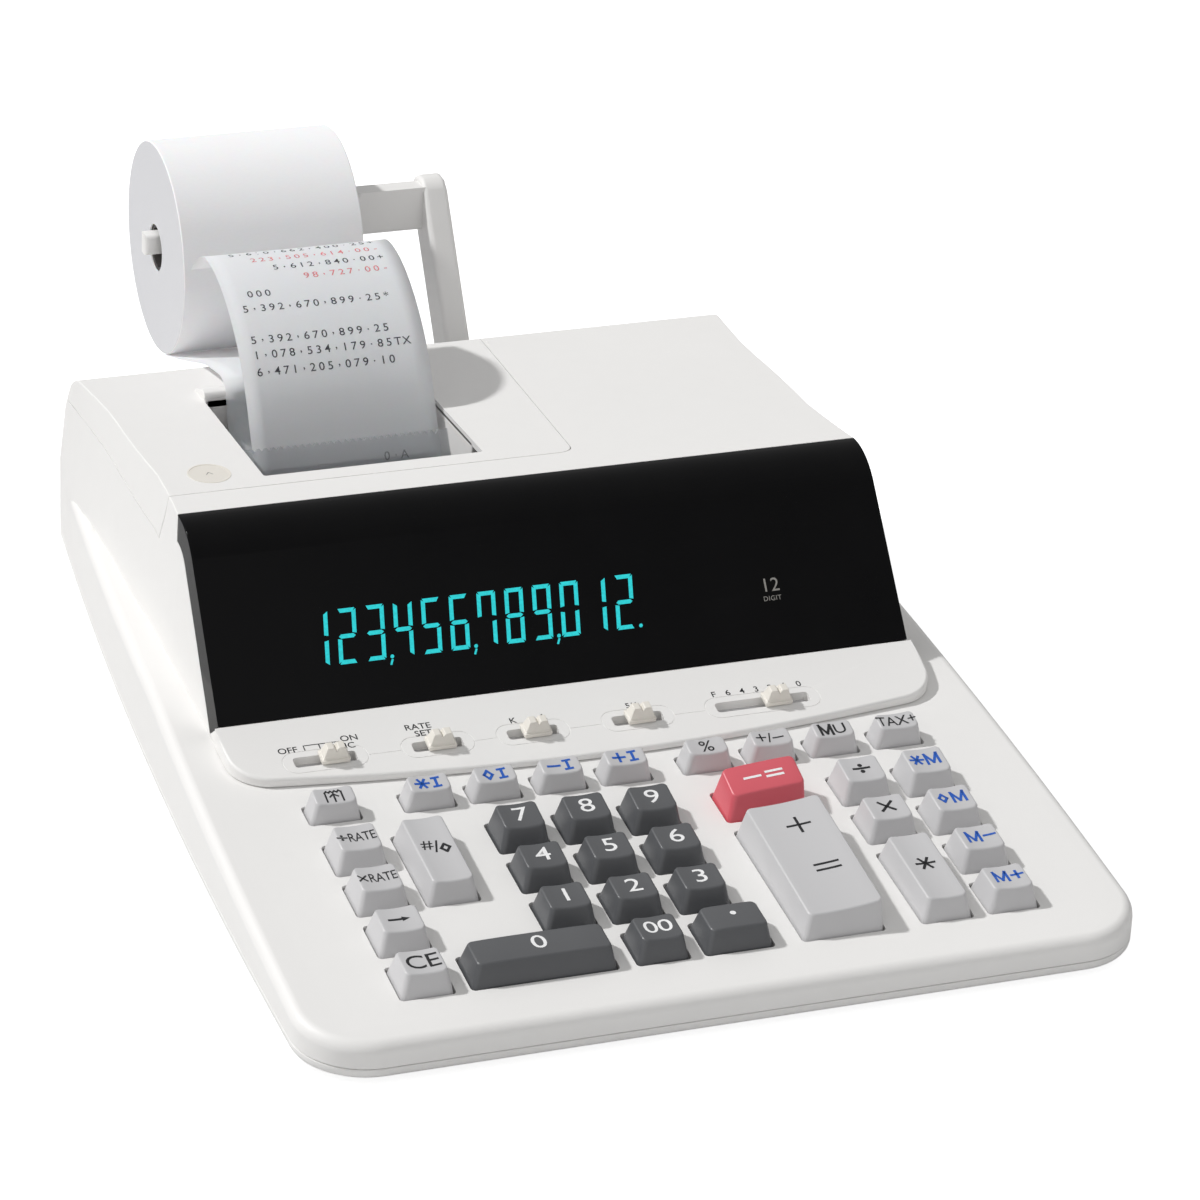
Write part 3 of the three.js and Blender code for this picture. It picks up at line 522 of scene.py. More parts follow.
def planOutline(inset):
    corner = shell["frontCorner"]
    side = arc((caseWidth / 2 - corner, frontY + corner), corner - inset, -90, 0, 14)
    rear = shell["rearCorner"]
    for i in range(14):
        y = frontY + 37 + (rearY - rear - frontY - 37) * i / 14
        side.append((halfWidthAt(y) - inset, y))
    side += arc((halfWidthAt(rearY - rear) - rear, rearY - rear), rear - inset, 0, 90, 9)
    return side + [(-x, y) for x, y in reversed(side)]


def flangeBlock(inset, drop, rounded):
    bm = prism(planOutline(inset), "z", shell["bottom"] - inset * 3, 90)
    tilt = math.radians(shell["deckTilt"])
    slice(bm, (0, frontY, shell["deckFront"] - drop), (0, -math.sin(tilt), math.cos(tilt)))
    slice(bm, (0, 0, shell["ledge"] - drop), (0, 0, 1))
    if rounded:
        def onRim(edge):
            tops = [face.normal.z > 0.9 for face in edge.link_faces]
            return tops[0] != tops[1] and edge.verts[0].co.z > shell["bottom"] + 2
        roundEdges(bm, onRim, shell["rim"], 5)
    return bm


fallAngle = math.radians(hump["topFall"])
lensAngle = math.radians(hump["lensAngle"])
lensUp = Vector((0, math.cos(lensAngle), math.sin(lensAngle)))
lensIn = Vector((0, lensUp.z, -lensUp.y))
lensFoot = Vector((0, *hump["foot"]))
bendCentre = lensFoot + lensUp * hump["lensLength"] + lensIn * hump["topRound"]
topStart = bendCentre + Vector((0, math.sin(fallAngle), math.cos(fallAngle))) * hump["topRound"]
topAlong = Vector((0, math.cos(fallAngle), -math.sin(fallAngle)))
topEnd = topStart + topAlong * hump["topLength"]


def topAt(y):
    return topStart.z - (y - topStart.y) * math.tan(fallAngle)


def lensCurve(inset, slack=0.0, steps=14):
    foot = lensFoot + lensIn * inset - lensUp * slack
    bend = arc((bendCentre.y, bendCentre.z), hump["topRound"] - inset, 90 + hump["lensAngle"],
               90 - hump["topFall"], steps)
    end = [(bend[-1][0] + topAlong.y * slack, bend[-1][1] + topAlong.z * slack)] if slack else []
    return [(foot.y, foot.z), *bend, *end]


def sideBow(spot):
    # the sides of the raised rear swell a little at its middle and draw in towards its ends, most at the top
    across = (max(spot.y, hump["bowFrom"]) - hump["bowMiddle"]) / hump["bowReach"]
    high = min(max((spot.z - shell["ledge"]) / (topStart.z - shell["ledge"]), 0), 1)
    return (hump["bowOut"] - hump["bowIn"] * across ** 2) * high


def humpBlock(inset, rounded):
    back = topEnd - Vector((0, math.sin(fallAngle), math.cos(fallAngle))) * hump["backRound"]
    bend = arc((back.y, back.z), hump["backRound"] - inset, 90 - hump["topFall"], 90 - hump["backSlope"], 8)
    low = 8
    y, z = bend[-1]
    front = lensCurve(inset)
    profile = [*front, *bend, (y + (z - low) / math.tan(math.radians(hump["backSlope"])), low), (front[0][0], low)]
    bm = prism(profile, "x", -130, 130)
    lean = math.atan((hump["halfBottom"] - hump["halfTop"]) / (topStart.z - shell["ledge"]))
    for side in (1, -1):
        slice(bm, (side * (hump["halfTop"] - inset), 0, topStart.z), (side * math.cos(lean), 0, math.sin(lean)))
    for y in range(-15, 150, 11):
        cutAcross(bm, (0, y, 0), (0, 1, 0))
    for vert in bm.verts:
        vert.co.x += math.copysign(sideBow(vert.co), vert.co.x)
    if rounded:
        def onSide(edge):
            sides = [abs(face.normal.x) > 0.9 for face in edge.link_faces]
            return sides[0] != sides[1] and min(v.co.z for v in edge.verts) > low + 1
        roundEdges(bm, onSide, hump["sideRound"], 6)
    return combine(bm, prism(planOutline(inset), "z", -20, 130), "INTERSECT")


# the deck's own frame, found from a key node: x across, y up the slope, z square to the deck
def deckBox(node):
    back = deckTurn.inverted() @ toMillimetres
    spots = [back @ vertex.co for vertex in frame["nodes"][node].data.vertices]
    low = Vector([min(spot[i] for spot in spots) for i in range(3)])
    high = Vector([max(spot[i] for spot in spots) for i in range(3)])
    return low, high


keyNodes = sorted(name for name in frame["nodes"] if name.startswith("key_") and name != "key_sheet")
keyHeight = 6.2
deckLevel = deckBox(keyNodes[0])[1].z - keyHeight

# printer cover: which part of the raised rear it takes, and its window
cover = {"front": 34, "right": 20, "slant": 0.043, "skirt": 56, "wall": 2, "corner": 4,
         "windowLeft": -71, "windowRight": -5.2, "windowFront": 41, "windowBack": 103.5}


def coverRegion(slack):
    front, skirt = cover["front"] - slack, cover["skirt"] - slack
    side = [(front, 130), (front, topAt(front)), (front + 9, skirt), (240, skirt), (240, 130)]
    block = prism(side, "x", -140, cover["right"] + slack)
    for vert in block.verts:
        if vert.co.x > 0:
            vert.co.x += (vert.co.y - cover["front"]) * cover["slant"]
    # the front right corner of the seam is rounded
    def atCorner(edge):
        middle = (edge.verts[0].co + edge.verts[1].co) / 2
        span = edge.verts[0].co - edge.verts[1].co
        return abs(span.z) > 20 and abs(span.y) < 0.1 and middle.x > 0 and middle.y < 60
    return roundEdges(block, atCorner, cover["corner"], 6)


def lensRegion(slack):
    inner = lensCurve(8 + slack, slack)
    return prism([*lensCurve(-20, slack), *reversed(inner)], "x", -140, 140)


# wells that the keys stand in
keyWell = {"gap": 0.4, "corner": 1.3, "below": 14, "above": 12}


def wellCutters(grow):
    cutters = []
    for name in keyNodes:
        low, high = deckBox(name)
        gap = keyWell["gap"] + grow
        block = roundedBox((low.x - gap, low.y - gap, deckLevel - keyWell["below"]),
                           (high.x + gap, high.y + gap, deckLevel + keyWell["above"]), keyWell["corner"] + grow, 4)
        bmesh.ops.transform(block, matrix=deckTurn, verts=block.verts)
        cutters.append(block)
    return joined(cutters)


slotForm = {"pastKnob": 2.8, "fromPanelFront": 11.7, "caseSide": 2, "caseHalf": 4}
switchNames = ["switch_power", "switch_rate", "switch_constant", "switch_rounding", "switch_decimal"]
slotRanges = {}
for joint in frame["joints"]:
    if joint["child"] in switchNames:
        low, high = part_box(joint["child"])
        middle = (low.x + high.x) / 2 / mm
        least, most = (middle + limit / mm for limit in joint["range_m"])
        slotRanges[joint["child"]] = (least - slotForm["pastKnob"], most + slotForm["pastKnob"])
panelLow, panelHigh = (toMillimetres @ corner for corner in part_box("switch_panel"))
slotY = panelLow.y + slotForm["fromPanelFront"]

print("case shapes")
outer = combine(flangeBlock(0, 0, True), humpBlock(0, True), "UNION")
inner = combine(flangeBlock(shell["wall"], 2, False), humpBlock(shell["wall"], False), "UNION")
upper = combine(outer, inner)
upper = combine(upper, coverRegion(shell["gap"]))
upper = combine(upper, lensRegion(shell["gap"]))
upper = combine(upper, wellCutters(0))
side, half = slotForm["caseSide"], slotForm["caseHalf"]
slots = [roundedBox((a - side, slotY - half, 5), (b + side, slotY + half, 60)) for a, b in slotRanges.values()]
upper = combine(upper, joined(slots))

# lugs that carry the paper arm, and the way through for the cord bush
pivot = Vector((0, 153, 44))
lugForm = {"sides": ((14.2, 18.2), (30.8, 34.8)), "radius": 5.4, "reach": 12, "bore": 2.8, "bushHole": 5.3}
for x0, x1 in lugForm["sides"]:
    radius, root = lugForm["radius"], pivot.y - lugForm["reach"]
    nose = arc((pivot.y, pivot.z), radius, -90, 90, 14)
    lug = prism([*nose, (root, pivot.z + radius), (root, pivot.z - radius)], "x", x0, x1)
    lug = combine(lug, humpBlock(shell["wall"], False))
    upper = combine(upper, lug, "UNION")
bore = prism(arc((pivot.y, pivot.z), lugForm["bore"], 0, 345, 23), "x", 10, 38)
upper = combine(upper, bore)
bushLow, bushHigh = (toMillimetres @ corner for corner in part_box("cord_bush"))
bushMiddle = (bushLow + bushHigh) / 2
bushHole = arc((bushMiddle.x, bushMiddle.z), lugForm["bushHole"], 0, 345, 23)
upper = combine(upper, prism(bushHole, "y", rearY - 30, rearY + 20))
finishPiece(upper, "upperCase", "case", ["shell"], ["upper_case"], bevel=0.35, angle=35)
print("upper case", len(upper.data.polygons))

lensWhole = combine(humpBlock(0, True), lensRegion(0), "INTERSECT")
finishPiece(lensWhole, "displayLens", "case", ["lens"], ["display_lens"], bevel=0.5, angle=35)
print("display lens")

coverShell = combine(humpBlock(0, True), humpBlock(cover["wall"], False))
coverShell = combine(coverShell, coverRegion(0), "INTERSECT")
windowHole = roundedBox((cover["windowLeft"], cover["windowFront"], 20),
                        (cover["windowRight"], cover["windowBack"], 120), 1.0, 3)
coverShell = combine(coverShell, windowHole)
finishPiece(coverShell, "printerCover", "case", ["shell"], ["printer_cover"], bevel=0.35, angle=35)
print("printer cover")

lower = prism(planOutline(0), "z", 2, 5.1)
roundEdges(lower, lambda edge: max(v.co.z for v in edge.verts) < 2.1, 2.0, 4)
hollow = prism(planOutline(shell["wall"]), "z", 3.8, 60)
lower = combine(lower, hollow)
finishPiece(lower, "lowerCase", "case", ["shell"], ["lower_case"], bevel=0.25, angle=50)

# ---- keys: a tapered cap with rounded edges, a dished top and its legend ----
keyForm = {"height": 6.2, "skirt": 1.0, "side": 1.9, "front": 2.5, "back": 1.5, "wide": 0.5,
           "corner": 1.5, "rim": 0.55, "dish": 0.55, "crown": 0.25,
           "legend": 0.05, "legendStep": 0.7, "stroke": 0.8, "fineStroke": 0.62,
           "lettering": 1.22, "weight": 0.02, "digitWidth": 1.18}
flatTopped = {"key_0", "key_point", "key_minus_equals"}


# tops climb towards the rear, more with each row; the two broad keys also lean to the right
broadKeys = {"key_minus_equals": {"rise": 3.0, "lean": 2.0}, "key_plus_equals": {"rise": 2.2, "lean": 2.0}}
longRise = {"key_total": 0.6, "key_number_subtotal": 0.6}
rowRise = {"front": 0.1, "gain": 0.021, "from": 18.7, "most": 1.3}
shallowKeys = {"front": 1.3, "back": 0.9, "height": 5.5, "rise": 1.2}


def formOf(name, low, depth):
    # what sets one cap apart: tapers, front height, climb to the rear, lean to the right
    rise = min(rowRise["front"] + (low.y - frontY - rowRise["from"]) * rowRise["gain"], rowRise["most"])
    form = {key: keyForm[key] for key in ("side", "wide", "front", "back", "height")}
    form.update(rise=longRise.get(name, rise), lean=0)
    if depth < 10:
        form.update(shallowKeys)
    if name in broadKeys:
        form.update(wide=1.5, **broadKeys[name])
    return form


def keyCap(width, depth, flat, form):
    bm = bmesh.new()
    bmesh.ops.create_cube(bm, size=1)
    side, front, back = form["side"], form["front"], form["back"]
    for vert in bm.verts:
        up = vert.co.z > 0
        vert.co.x = (width - (side - form["wide"]) * up) if vert.co.x > 0 else side * up
        vert.co.y = (depth - back * up) if vert.co.y > 0 else front * up
        vert.co.z = form["height"] if up else -keyForm["skirt"]
    corners = [e for e in bm.edges if abs(e.verts[0].co.z - e.verts[1].co.z) > 3]
    bmesh.ops.bevel(bm, geom=corners, offset=keyForm["corner"], offset_type="OFFSET", affect="EDGES", segments=5,
                    profile=0.5, material=-1, clamp_overlap=True)
    cuts = 10
    for i in range(1, cuts):
        x = side + keyForm["corner"] + (width - 2 * side + form["wide"] - 2 * keyForm["corner"]) * i / cuts
        cutAcross(bm, (x, 0, 0), (1, 0, 0))
    for vert in bm.verts:
        if vert.co.z > 3:
            vert.co.z = topHeight(vert.co.x, vert.co.y, width, depth, flat, form)
    bm.normal_update()
    def onRim(edge):
        tops = [face.normal.z > 0.8 for face in edge.link_faces]
        return tops[0] != tops[1] and edge.verts[0].co.z > 3
    roundEdges(bm, onRim, keyForm["rim"], 4)
    return bm


def topHeight(x, y, width, depth, flat, form):
    # dished across its width, or crowned a little on the broad flat keys
    across = min(max((x - form["side"]) / (width - 2 * form["side"] + form["wide"]), 0), 1) * 2 - 1
    level = form["height"] + form["rise"] * y / depth + form["lean"] * x / width
    return level - (keyForm["crown"] * across ** 4 if flat else keyForm["dish"] * (1 - across ** 2))


def symbolDiamond(size, width):
    half = size / 2
    return strokes([[(half * 0.72, 0), (0, half), (-half * 0.72, 0), (0, -half), (half * 0.72, 0)]], width)


def symbolItem(size, width):
    half, foot = size / 2, size * 0.26
    return strokes([[(0, -half), (0, half)], [(-foot, half), (foot, half)], [(-foot, -half), (foot, -half)]], width)


def symbolStar(size, width):
    half = size / 2
    ends = [(half * math.cos(math.radians(a)), half * math.sin(math.radians(a))) for a in (0, 60, 120)]
    return strokes([[(-x, -y), (x, y)] for x, y in ends], width)


def symbolPlus(size, width):
    return strokes([[(-size / 2, 0), (size / 2, 0)], [(0, -size / 2), (0, size / 2)]], width)


def symbolMinus(size, width):
    return strokes([[(-size / 2, 0), (size / 2, 0)]], width)


def symbolEquals(size, width):
    return strokes([[(-size / 2, y), (size / 2, y)] for y in (size * 0.19, -size * 0.19)], width)


def symbolTimes(size, width):
    half = size * 0.4
    return strokes([[(-half, -half), (half, half)], [(-half, half), (half, -half)]], width)


def disc(x, y, radius):
    bm = bmesh.new()
    bmesh.ops.create_circle(bm, cap_ends=True, radius=radius, segments=20)
    bmesh.ops.translate(bm, verts=bm.verts, vec=(x, y, 0))
    return bm


def symbolDivide(size, width):
    return joined([symbolMinus(size, width), disc(0, size * 0.3, width * 0.85), disc(0, -size * 0.3, width * 0.85)])


def symbolArrow(size, width):
    shaft = strokes([[(-size / 2, 0), (size / 4, 0)]], width)
    head = bmesh.new()
    barbs = ((size * 0.12, -size * 0.17, 0), (size / 2, 0, 0), (size * 0.12, size * 0.17, 0))
    head.faces.new([head.verts.new(p) for p in barbs])
    return joined([shaft, head])


def symbolFeed(size, width):
    # torn paper edge over an upward arrow
    half = size / 2
    tooth = size / 4
    tear = [(-half + tooth * i / 2, half * 0.55 + (tooth * 0.55 if i % 2 else 0)) for i in range(9)]
    frameLines = [[(-half, -half), (-half, half * 0.55)], tear, [(half, half * 0.55), (half, -half)]]
    arrow = [[(0, -half), (0, half * 0.3)], [(-tooth, -half * 0.15), (0, half * 0.3), (tooth, -half * 0.15)]]
    return strokes(frameLines + arrow, width)


def symbolM(size, width):
    half, high = size * 0.42, size * 0.5
    return strokes([[(-half, -high), (-half, high)], [(-half, high), (0, -high * 0.8), (half, high)],
                    [(half, high), (half, -high)]], width)


def symbolPoint(size, width):
    return disc(0, 0, size)


symbols = {"diamond": symbolDiamond, "item": symbolItem, "star": symbolStar, "plus": symbolPlus,
           "minus": symbolMinus, "equals": symbolEquals, "times": symbolTimes, "divide": symbolDivide,
           "arrow": symbolArrow, "feed": symbolFeed,
           "point": symbolPoint, "m": symbolM}

# each legend is a list of (what, size, x, y) about the middle of the top
legends = {
    "key_ce": [("CE", 6.6, 0.2, 0)], "key_shift": [("@arrow", 5.6, 0, 0)],
    "key_rate_multiply": [("@times", 2.6, -4.2, 0.2), ("RATE", 4.1, 1.3, 0.2)],
    "key_rate_divide": [("@divide", 2.6, -4.2, 0.2), ("RATE", 4.1, 1.3, 0.2)],
    "key_paper_feed": [("@feed", 4.6, 0, 0)],
    "key_number_subtotal": [("#", 4.6, -2.2, 2.4), ("/", 6.0, 0.2, 1.2), ("@diamond", 3.3, 2.4, 0)],
    "key_0": [("0", 6.4, 0, 0.6)], "key_00": [("00", 5.9, 0.2, 0.4)], "key_point": [("@point", 0.85, 0.2, 0.9)],
    "key_item_total": [("@star", 3.6, -1.9, 0), ("@item", 3.4, 2.1, 0)],
    "key_item_subtotal": [("@diamond", 3.3, -1.9, 0), ("@item", 3.4, 2.1, 0)],
    "key_item_minus": [("@minus", 3.2, -1.9, 0), ("@item", 3.4, 2.1, 0)],
    "key_item_plus": [("@plus", 3.2, -1.9, 0), ("@item", 3.4, 2.1, 0)],
    "key_percent": [("%", 5.0, 0, 0)],
    "key_sign_change": [("@plus", 2.6, -2.8, 0.3), ("/", 4.4, -0.4, 0), ("@minus", 2.8, 2.1, -0.3)],
    "key_markup": [("@m", 3.9, -2.0, 0), ("U", 4.6, 2.1, 0)], "key_tax": [("TAX+", 4.4, 0, 0)],
    "key_minus_equals": [("@minus", 4.4, -3.2, 0), ("@equals", 4.4, 3.2, 0)],
    "key_plus_equals": [("@plus", 6.2, 0.9, 13.5), ("@equals", 6.4, 1.9, -5.5)],
    "key_divide": [("@divide", 4.4, 0, 0.2)], "key_multiply": [("@times", 4.6, 0, 0.4)],
    "key_total": [("@star", 5.0, 0, 1.2)],
    "key_memory_total": [("@star", 3.6, -2.7, 0.3), ("@m", 4.1, 1.9, 0.3)],
    "key_memory_subtotal": [("@diamond", 3.2, -2.7, 0.3), ("@m", 4.1, 1.9, 0.3)],
    "key_memory_minus": [("@m", 4.1, -1.6, 0.3), ("@minus", 3.0, 3.0, 0.3)],
    "key_memory_plus": [("@m", 4.1, -1.6, 0.3), ("@plus", 3.0, 3.0, 0.3)],
}
for digit in range(1, 10):
    legends[f"key_{digit}"] = [(str(digit), 6.4, 0.2, 0.5)]
blueLegends = ("item", "memory")
condensed = {"RATE": 0.68, "TAX+": 0.9}


def legendShape(parts, weight):
    shapes = []
    for what, size, x, y in parts:
        if what.startswith("@"):
            fine = size < 3 or what == "@feed"
            drawn = symbols[what[1:]](size, weight * (keyForm["fineStroke"] if fine else 1))
        else:
            drawn = shapeText(what, size * keyForm["lettering"], 0.95, keyForm["weight"])
            broad = keyForm["digitWidth"] if what.isdigit() else condensed.get(what, 1)
            bmesh.ops.scale(drawn, verts=drawn.verts, vec=(broad, 1, 1))
            bmesh.ops.translate(drawn, verts=drawn.verts, vec=(0, -size * 0.05, 0))
        bmesh.ops.translate(drawn, verts=drawn.verts, vec=(x, y, 0))
        shapes.append(drawn)
    return joined(shapes)


def makeKey(name):
    low, high = deckBox(name)
    width, depth = high.x - low.x, high.y - low.y
    flat = name in flatTopped
    form = formOf(name, low, depth)
    cap = keyCap(width, depth, flat, form)
    for face in cap.faces:
        face.material_index = 0
    mark = legendShape(legends[name], keyForm["stroke"])
    middle = Vector(((width + form["wide"]) / 2, (form["front"] + depth - form["back"]) / 2, 0))
    bmesh.ops.translate(mark, verts=mark.verts, vec=middle)
    step = keyForm["legendStep"]  # narrow slices, so that the legend follows the dish
    for i in range(int(width / step)):
        cutAcross(mark, (i * step + step / 2, 0, 0), (1, 0, 0))
    for vert in mark.verts:
        vert.co.z = topHeight(vert.co.x, vert.co.y, width, depth, flat, form) + keyForm["legend"]
    for face in mark.faces:
        face.material_index = 1
        if face.normal.z < 0:
            face.normal_flip()
    slot = next(entry["material_slot"] for entry in frame["record"]["subparts"] if entry["node"] == name)
    plasticFor = {"dark_key": "darkKey", "red_key": "redKey", "light_key": "lightKey"}[slot]
    if slot != "light_key":
        ink = "inkWhite"
    else:
        ink = "inkBlue" if any(word in name for word in blueLegends) else "inkBlack"
    whole = joined([cap, mark])
    place = deckTurn @ Matrix.Translation((low.x, low.y, deckLevel))
    pieceName = "".join(part.capitalize() if i else part for i, part in enumerate(name.split("_")))
    finishPiece(whole, pieceName, name, [plasticFor, ink], [name], angle=40, place=place)


for name in keyNodes:
    makeKey(name)
print("keys", len(keyNodes))


# ---- switch panel, its slots, legends and knobs ----
panel = {"corner": 12, "rise": 1.8, "slot": 4.0, "bow": 6.8, "bowHalf": 95}
panelFrontTop = deckAt(panelLow.y) + panel["rise"]
panelBackTop = panelHigh.z
panelPitch = math.atan((panelBackTop - panelFrontTop) / (panelHigh.y - panelLow.y))
slotHeight = panelFrontTop + (slotY - panelLow.y) * math.tan(panelPitch)
panelTurn = Matrix.Translation((0, slotY, slotHeight)) @ Matrix.Rotation(panelPitch, 4, "X")


def panelShape():
    half, corner = panelHigh.x, panel["corner"]
    frontLine = [(x, panelLow.y + panel["bow"] * (x / panel["bowHalf"]) ** 2) for x in range(7, int(half - corner), 7)]
    cornerY = panelLow.y + panel["bow"] * ((half - corner) / panel["bowHalf"]) ** 2
    frontLine += arc((half - corner, cornerY + corner), corner, -82, 0, 9)
    plan = [*frontLine, (half, panelHigh.y), (-half, panelHigh.y), *[(-x, y) for x, y in reversed(frontLine)]]
    bm = prism(plan, "z", 10, 60)
    slice(bm, (0, panelLow.y, panelFrontTop), (0, -math.sin(panelPitch), math.cos(panelPitch)))
    tilt = math.radians(shell["deckTilt"])
    slice(bm, (0, frontY, shell["deckFront"] + 0.3), (0, math.sin(tilt), -math.cos(tilt)))
    def onRim(edge):
        tops = [face.normal.z > 0.9 for face in edge.link_faces]
        high = min(v.co.z - deckAt(v.co.y) for v in edge.verts) > 0.8
        return tops[0] != tops[1] and high and max(v.co.y for v in edge.verts) < panelHigh.y - 0.1
    return roundEdges(bm, onRim, 1.2, 5)


panelSolid = panelShape()
for a, b in slotRanges.values():
    hole = roundedBox((a, -panel["slot"] / 2, -12), (b, panel["slot"] / 2, 12), 1.0, 4)
    bmesh.ops.transform(hole, matrix=panelTurn, verts=hole.verts)
    panelSolid = combine(panelSolid, hole)
# a fine groove runs round each slot and from slot to slot
groove = {"out": 3.2, "half": 4.4, "corner": 4.0, "wide": 0.2, "deep": 0.12, "linkFront": -0.55, "linkBack": -0.35}
grooveParts = []
order = sorted(slotRanges.values())
for a, b in order:
    out, half, corner, wide = (groove[key] for key in ("out", "half", "corner", "wide"))
    outerRing = roundedBox((a - out, -half, -groove["deep"]), (b + out, half, 3), corner, 8)
    innerRing = roundedBox((a - out + wide, -half + wide, -1), (b + out - wide, half - wide, 4), corner - wide, 8)
    grooveParts.append(combine(outerRing, innerRing))
for (a, b), (c, d) in zip(order, order[1:]):
    past = groove["out"] + groove["wide"]
    grooveParts.append(toObject(roundedBox((b + past, groove["linkFront"], -0.1), (c - past, groove["linkBack"], 3))))
for ring in grooveParts:
    ring.data.transform(panelTurn)
    panelSolid = combine(panelSolid, ring)
finishPiece(panelSolid, "switchPanel", "case", ["shell"], ["switch_panel"], bevel=0.15, angle=35)

# dark floor under the slots
for name, (a, b) in slotRanges.items():
    well = roundedBox((a - 1.5, -3.4, -3.4), (b + 1.5, 3.4, -2.9), 0.5, 3)
    bmesh.ops.transform(well, matrix=panelTurn, verts=well.verts)
    finishPiece(well, "slotFloor" + name.split("_")[1].capitalize(), "case", ["lightKey"])


knob = {"baseHalf": 2.65, "baseLow": 0.3, "baseHigh": 1.5, "thumbSide": 0.45, "thumbHalf": 2.1, "sideTaper": 1.1,
        "frontTaper": 0.7, "thumbLow": 1.4, "top": 4.8, "notchDeep": 1.1, "notchHalf": 0.9}


def makeKnob(name):
    low, high = (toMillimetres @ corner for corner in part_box(name))
    middle = (low.x + high.x) / 2
    half = (high.x - low.x) / 2
    body = roundedBox((-half, -knob["baseHalf"], knob["baseLow"]), (half, knob["baseHalf"], knob["baseHigh"]), 0.5, 3)
    stem = roundedBox((-2.5, -1.6, -2.8), (2.5, 1.6, 0.6), 0.4, 3)
    thumb = bmesh.new()
    bmesh.ops.create_cube(thumb, size=1)
    for vert in thumb.verts:
        up = vert.co.z > 0
        vert.co.x = math.copysign(half - knob["thumbSide"] - knob["sideTaper"] * up, vert.co.x)
        vert.co.y = math.copysign(knob["thumbHalf"] - knob["frontTaper"] * up, vert.co.y)
        vert.co.z = knob["top"] if up else knob["thumbLow"]
    made = combine(body, stem, "UNION")
    made = combine(made, thumb, "UNION")
    mouth = knob["top"] + 0.4
    wide = knob["notchHalf"]
    notch = prism([(-wide, mouth), (0, knob["top"] - knob["notchDeep"]), (wide, mouth)], "y", -4, 4)
    made = combine(made, notch)
    place = panelTurn @ Matrix.Translation((middle, 0, 0))
    pieceName = "knob" + name.split("_")[1].capitalize()
    finishPiece(made, pieceName, name, ["knob"], [name], bevel=0.3, angle=40, place=place, segments=3)


for name in switchNames:
    makeKnob(name)
print("switches")

# small printed legends on the panel: text, size, middle of the slot plus x, y up the slope
power, rate, constant, rounding = (sum(slotRanges["switch_" + word]) / 2
                                   for word in ("power", "rate", "constant", "rounding"))
panelWords = [("OFF", 2.9, power - 9.4, 5.2), ("ON", 2.9, power + 8.8, 7.2), ("IC", 2.9, power + 8.2, 4.2)]
panelWords += [("RATE", 2.9, rate - 3.4, 8.2), ("SET", 2.9, rate - 2.6, 5.3)]
panelWords += [("K", 2.8, constant - 4.2, 5.6), ("•", 2.4, constant + 0.6, 6.0), ("A", 2.8, constant + 4.6, 5.6)]
panelWords += [("5/4", 2.6, rounding, 5.6)]
a, b = slotRanges["switch_decimal"]
for i, word in enumerate("F643210"):
    panelWords.append((word, 2.8, a + 1.2 + (b - a - 2.4) * i / 6, 5.6))
marks = []
for word, size, x, y in panelWords:
    drawn = shapeText(word, size * 1.12, 1.0, 0.03)
    bmesh.ops.translate(drawn, verts=drawn.verts, vec=(x, y, 0.02))
    marks.append(drawn)
bracket = strokes([[(power - 4.6, 4.6), (power - 4.6, 6.4), (power + 5.6, 6.4)],
                   [(power - 0.2, 6.4), (power - 0.2, 4.6)], [(power + 2.6, 6.4), (power + 2.6, 4.6)]], 0.32)
bmesh.ops.translate(bracket, verts=bracket.verts, vec=(0, 0, 0.02))
finishPiece(joined([*marks, bracket]), "panelLegends", "case", ["inkBlack"], place=panelTurn)


# ---- display: glowing digits and a small legend behind the smoked face ----
display = {"left": -74.0, "right": 23.8, "rise": 13.0, "tall": 15.8, "wide": 5.5, "stroke": 1.2, "gap": 0.3,
           "slant": 0.12, "lift": 0.03, "point": 0.55, "capacityAt": (64.5, 20.5, 0)}
lensTurn = Matrix.Translation(lensFoot - lensIn * display["lift"]) @ Matrix((
    (1, 0, 0), (0, lensUp.y, -lensIn.y), (0, lensUp.z, -lensIn.z))).to_4x4()
segmentsOf = {"0": "abcdef", "1": "bc", "2": "abged", "3": "abgcd", "4": "fgbc", "5": "afgcd", "6": "afgedc",
              "7": "abcf", "8": "abcdefg", "9": "abcdfg"}


def segment(kind, wide, tall, stroke):
    # one lit bar with mitred ends
    half, inset = tall / 2, stroke * 0.5
    gap = display["gap"]
    level = {"a": tall, "g": half, "d": 0}
    if kind in level:
        y = level[kind]
        low, high = {"a": (y - stroke, y), "g": (y - inset, y + inset), "d": (y, y + stroke)}[kind]
        tip = stroke * 0.55
        under, over = (tip if kind == "a" else 0), (tip if kind == "d" else 0)
        points = [(gap + under, low), (wide - gap - under, low), (wide - gap - over, high), (gap + over, high)]
        if kind == "g":
            points = [(gap, y), (gap + tip, low), (wide - gap - tip, low), (wide - gap, y),
                      (wide - gap - tip, high), (gap + tip, high)]
    else:
        rightSide = kind in "bc"
        lowerHalf = kind in "ec"
        y0, y1 = (gap, half - gap) if lowerHalf else (half + gap, tall - gap)
        tip = stroke * 0.7
        outer0 = y0 if lowerHalf else y0 + tip * 0.4
        outer1 = y1 - tip * 0.4 if lowerHalf else y1
        inner0 = y0 + tip if lowerHalf else y0 + tip * 0.7
        inner1 = y1 - tip * 0.7 if lowerHalf else y1 - tip
        xo, xi = (wide, wide - stroke) if rightSide else (0, stroke)
        points = [(xo, outer0), (xo, outer1), (xi, inner1), (xi, inner0)]
    bm = bmesh.new()
    bm.faces.new([bm.verts.new((x, y, 0)) for x, y in points])
    return bm


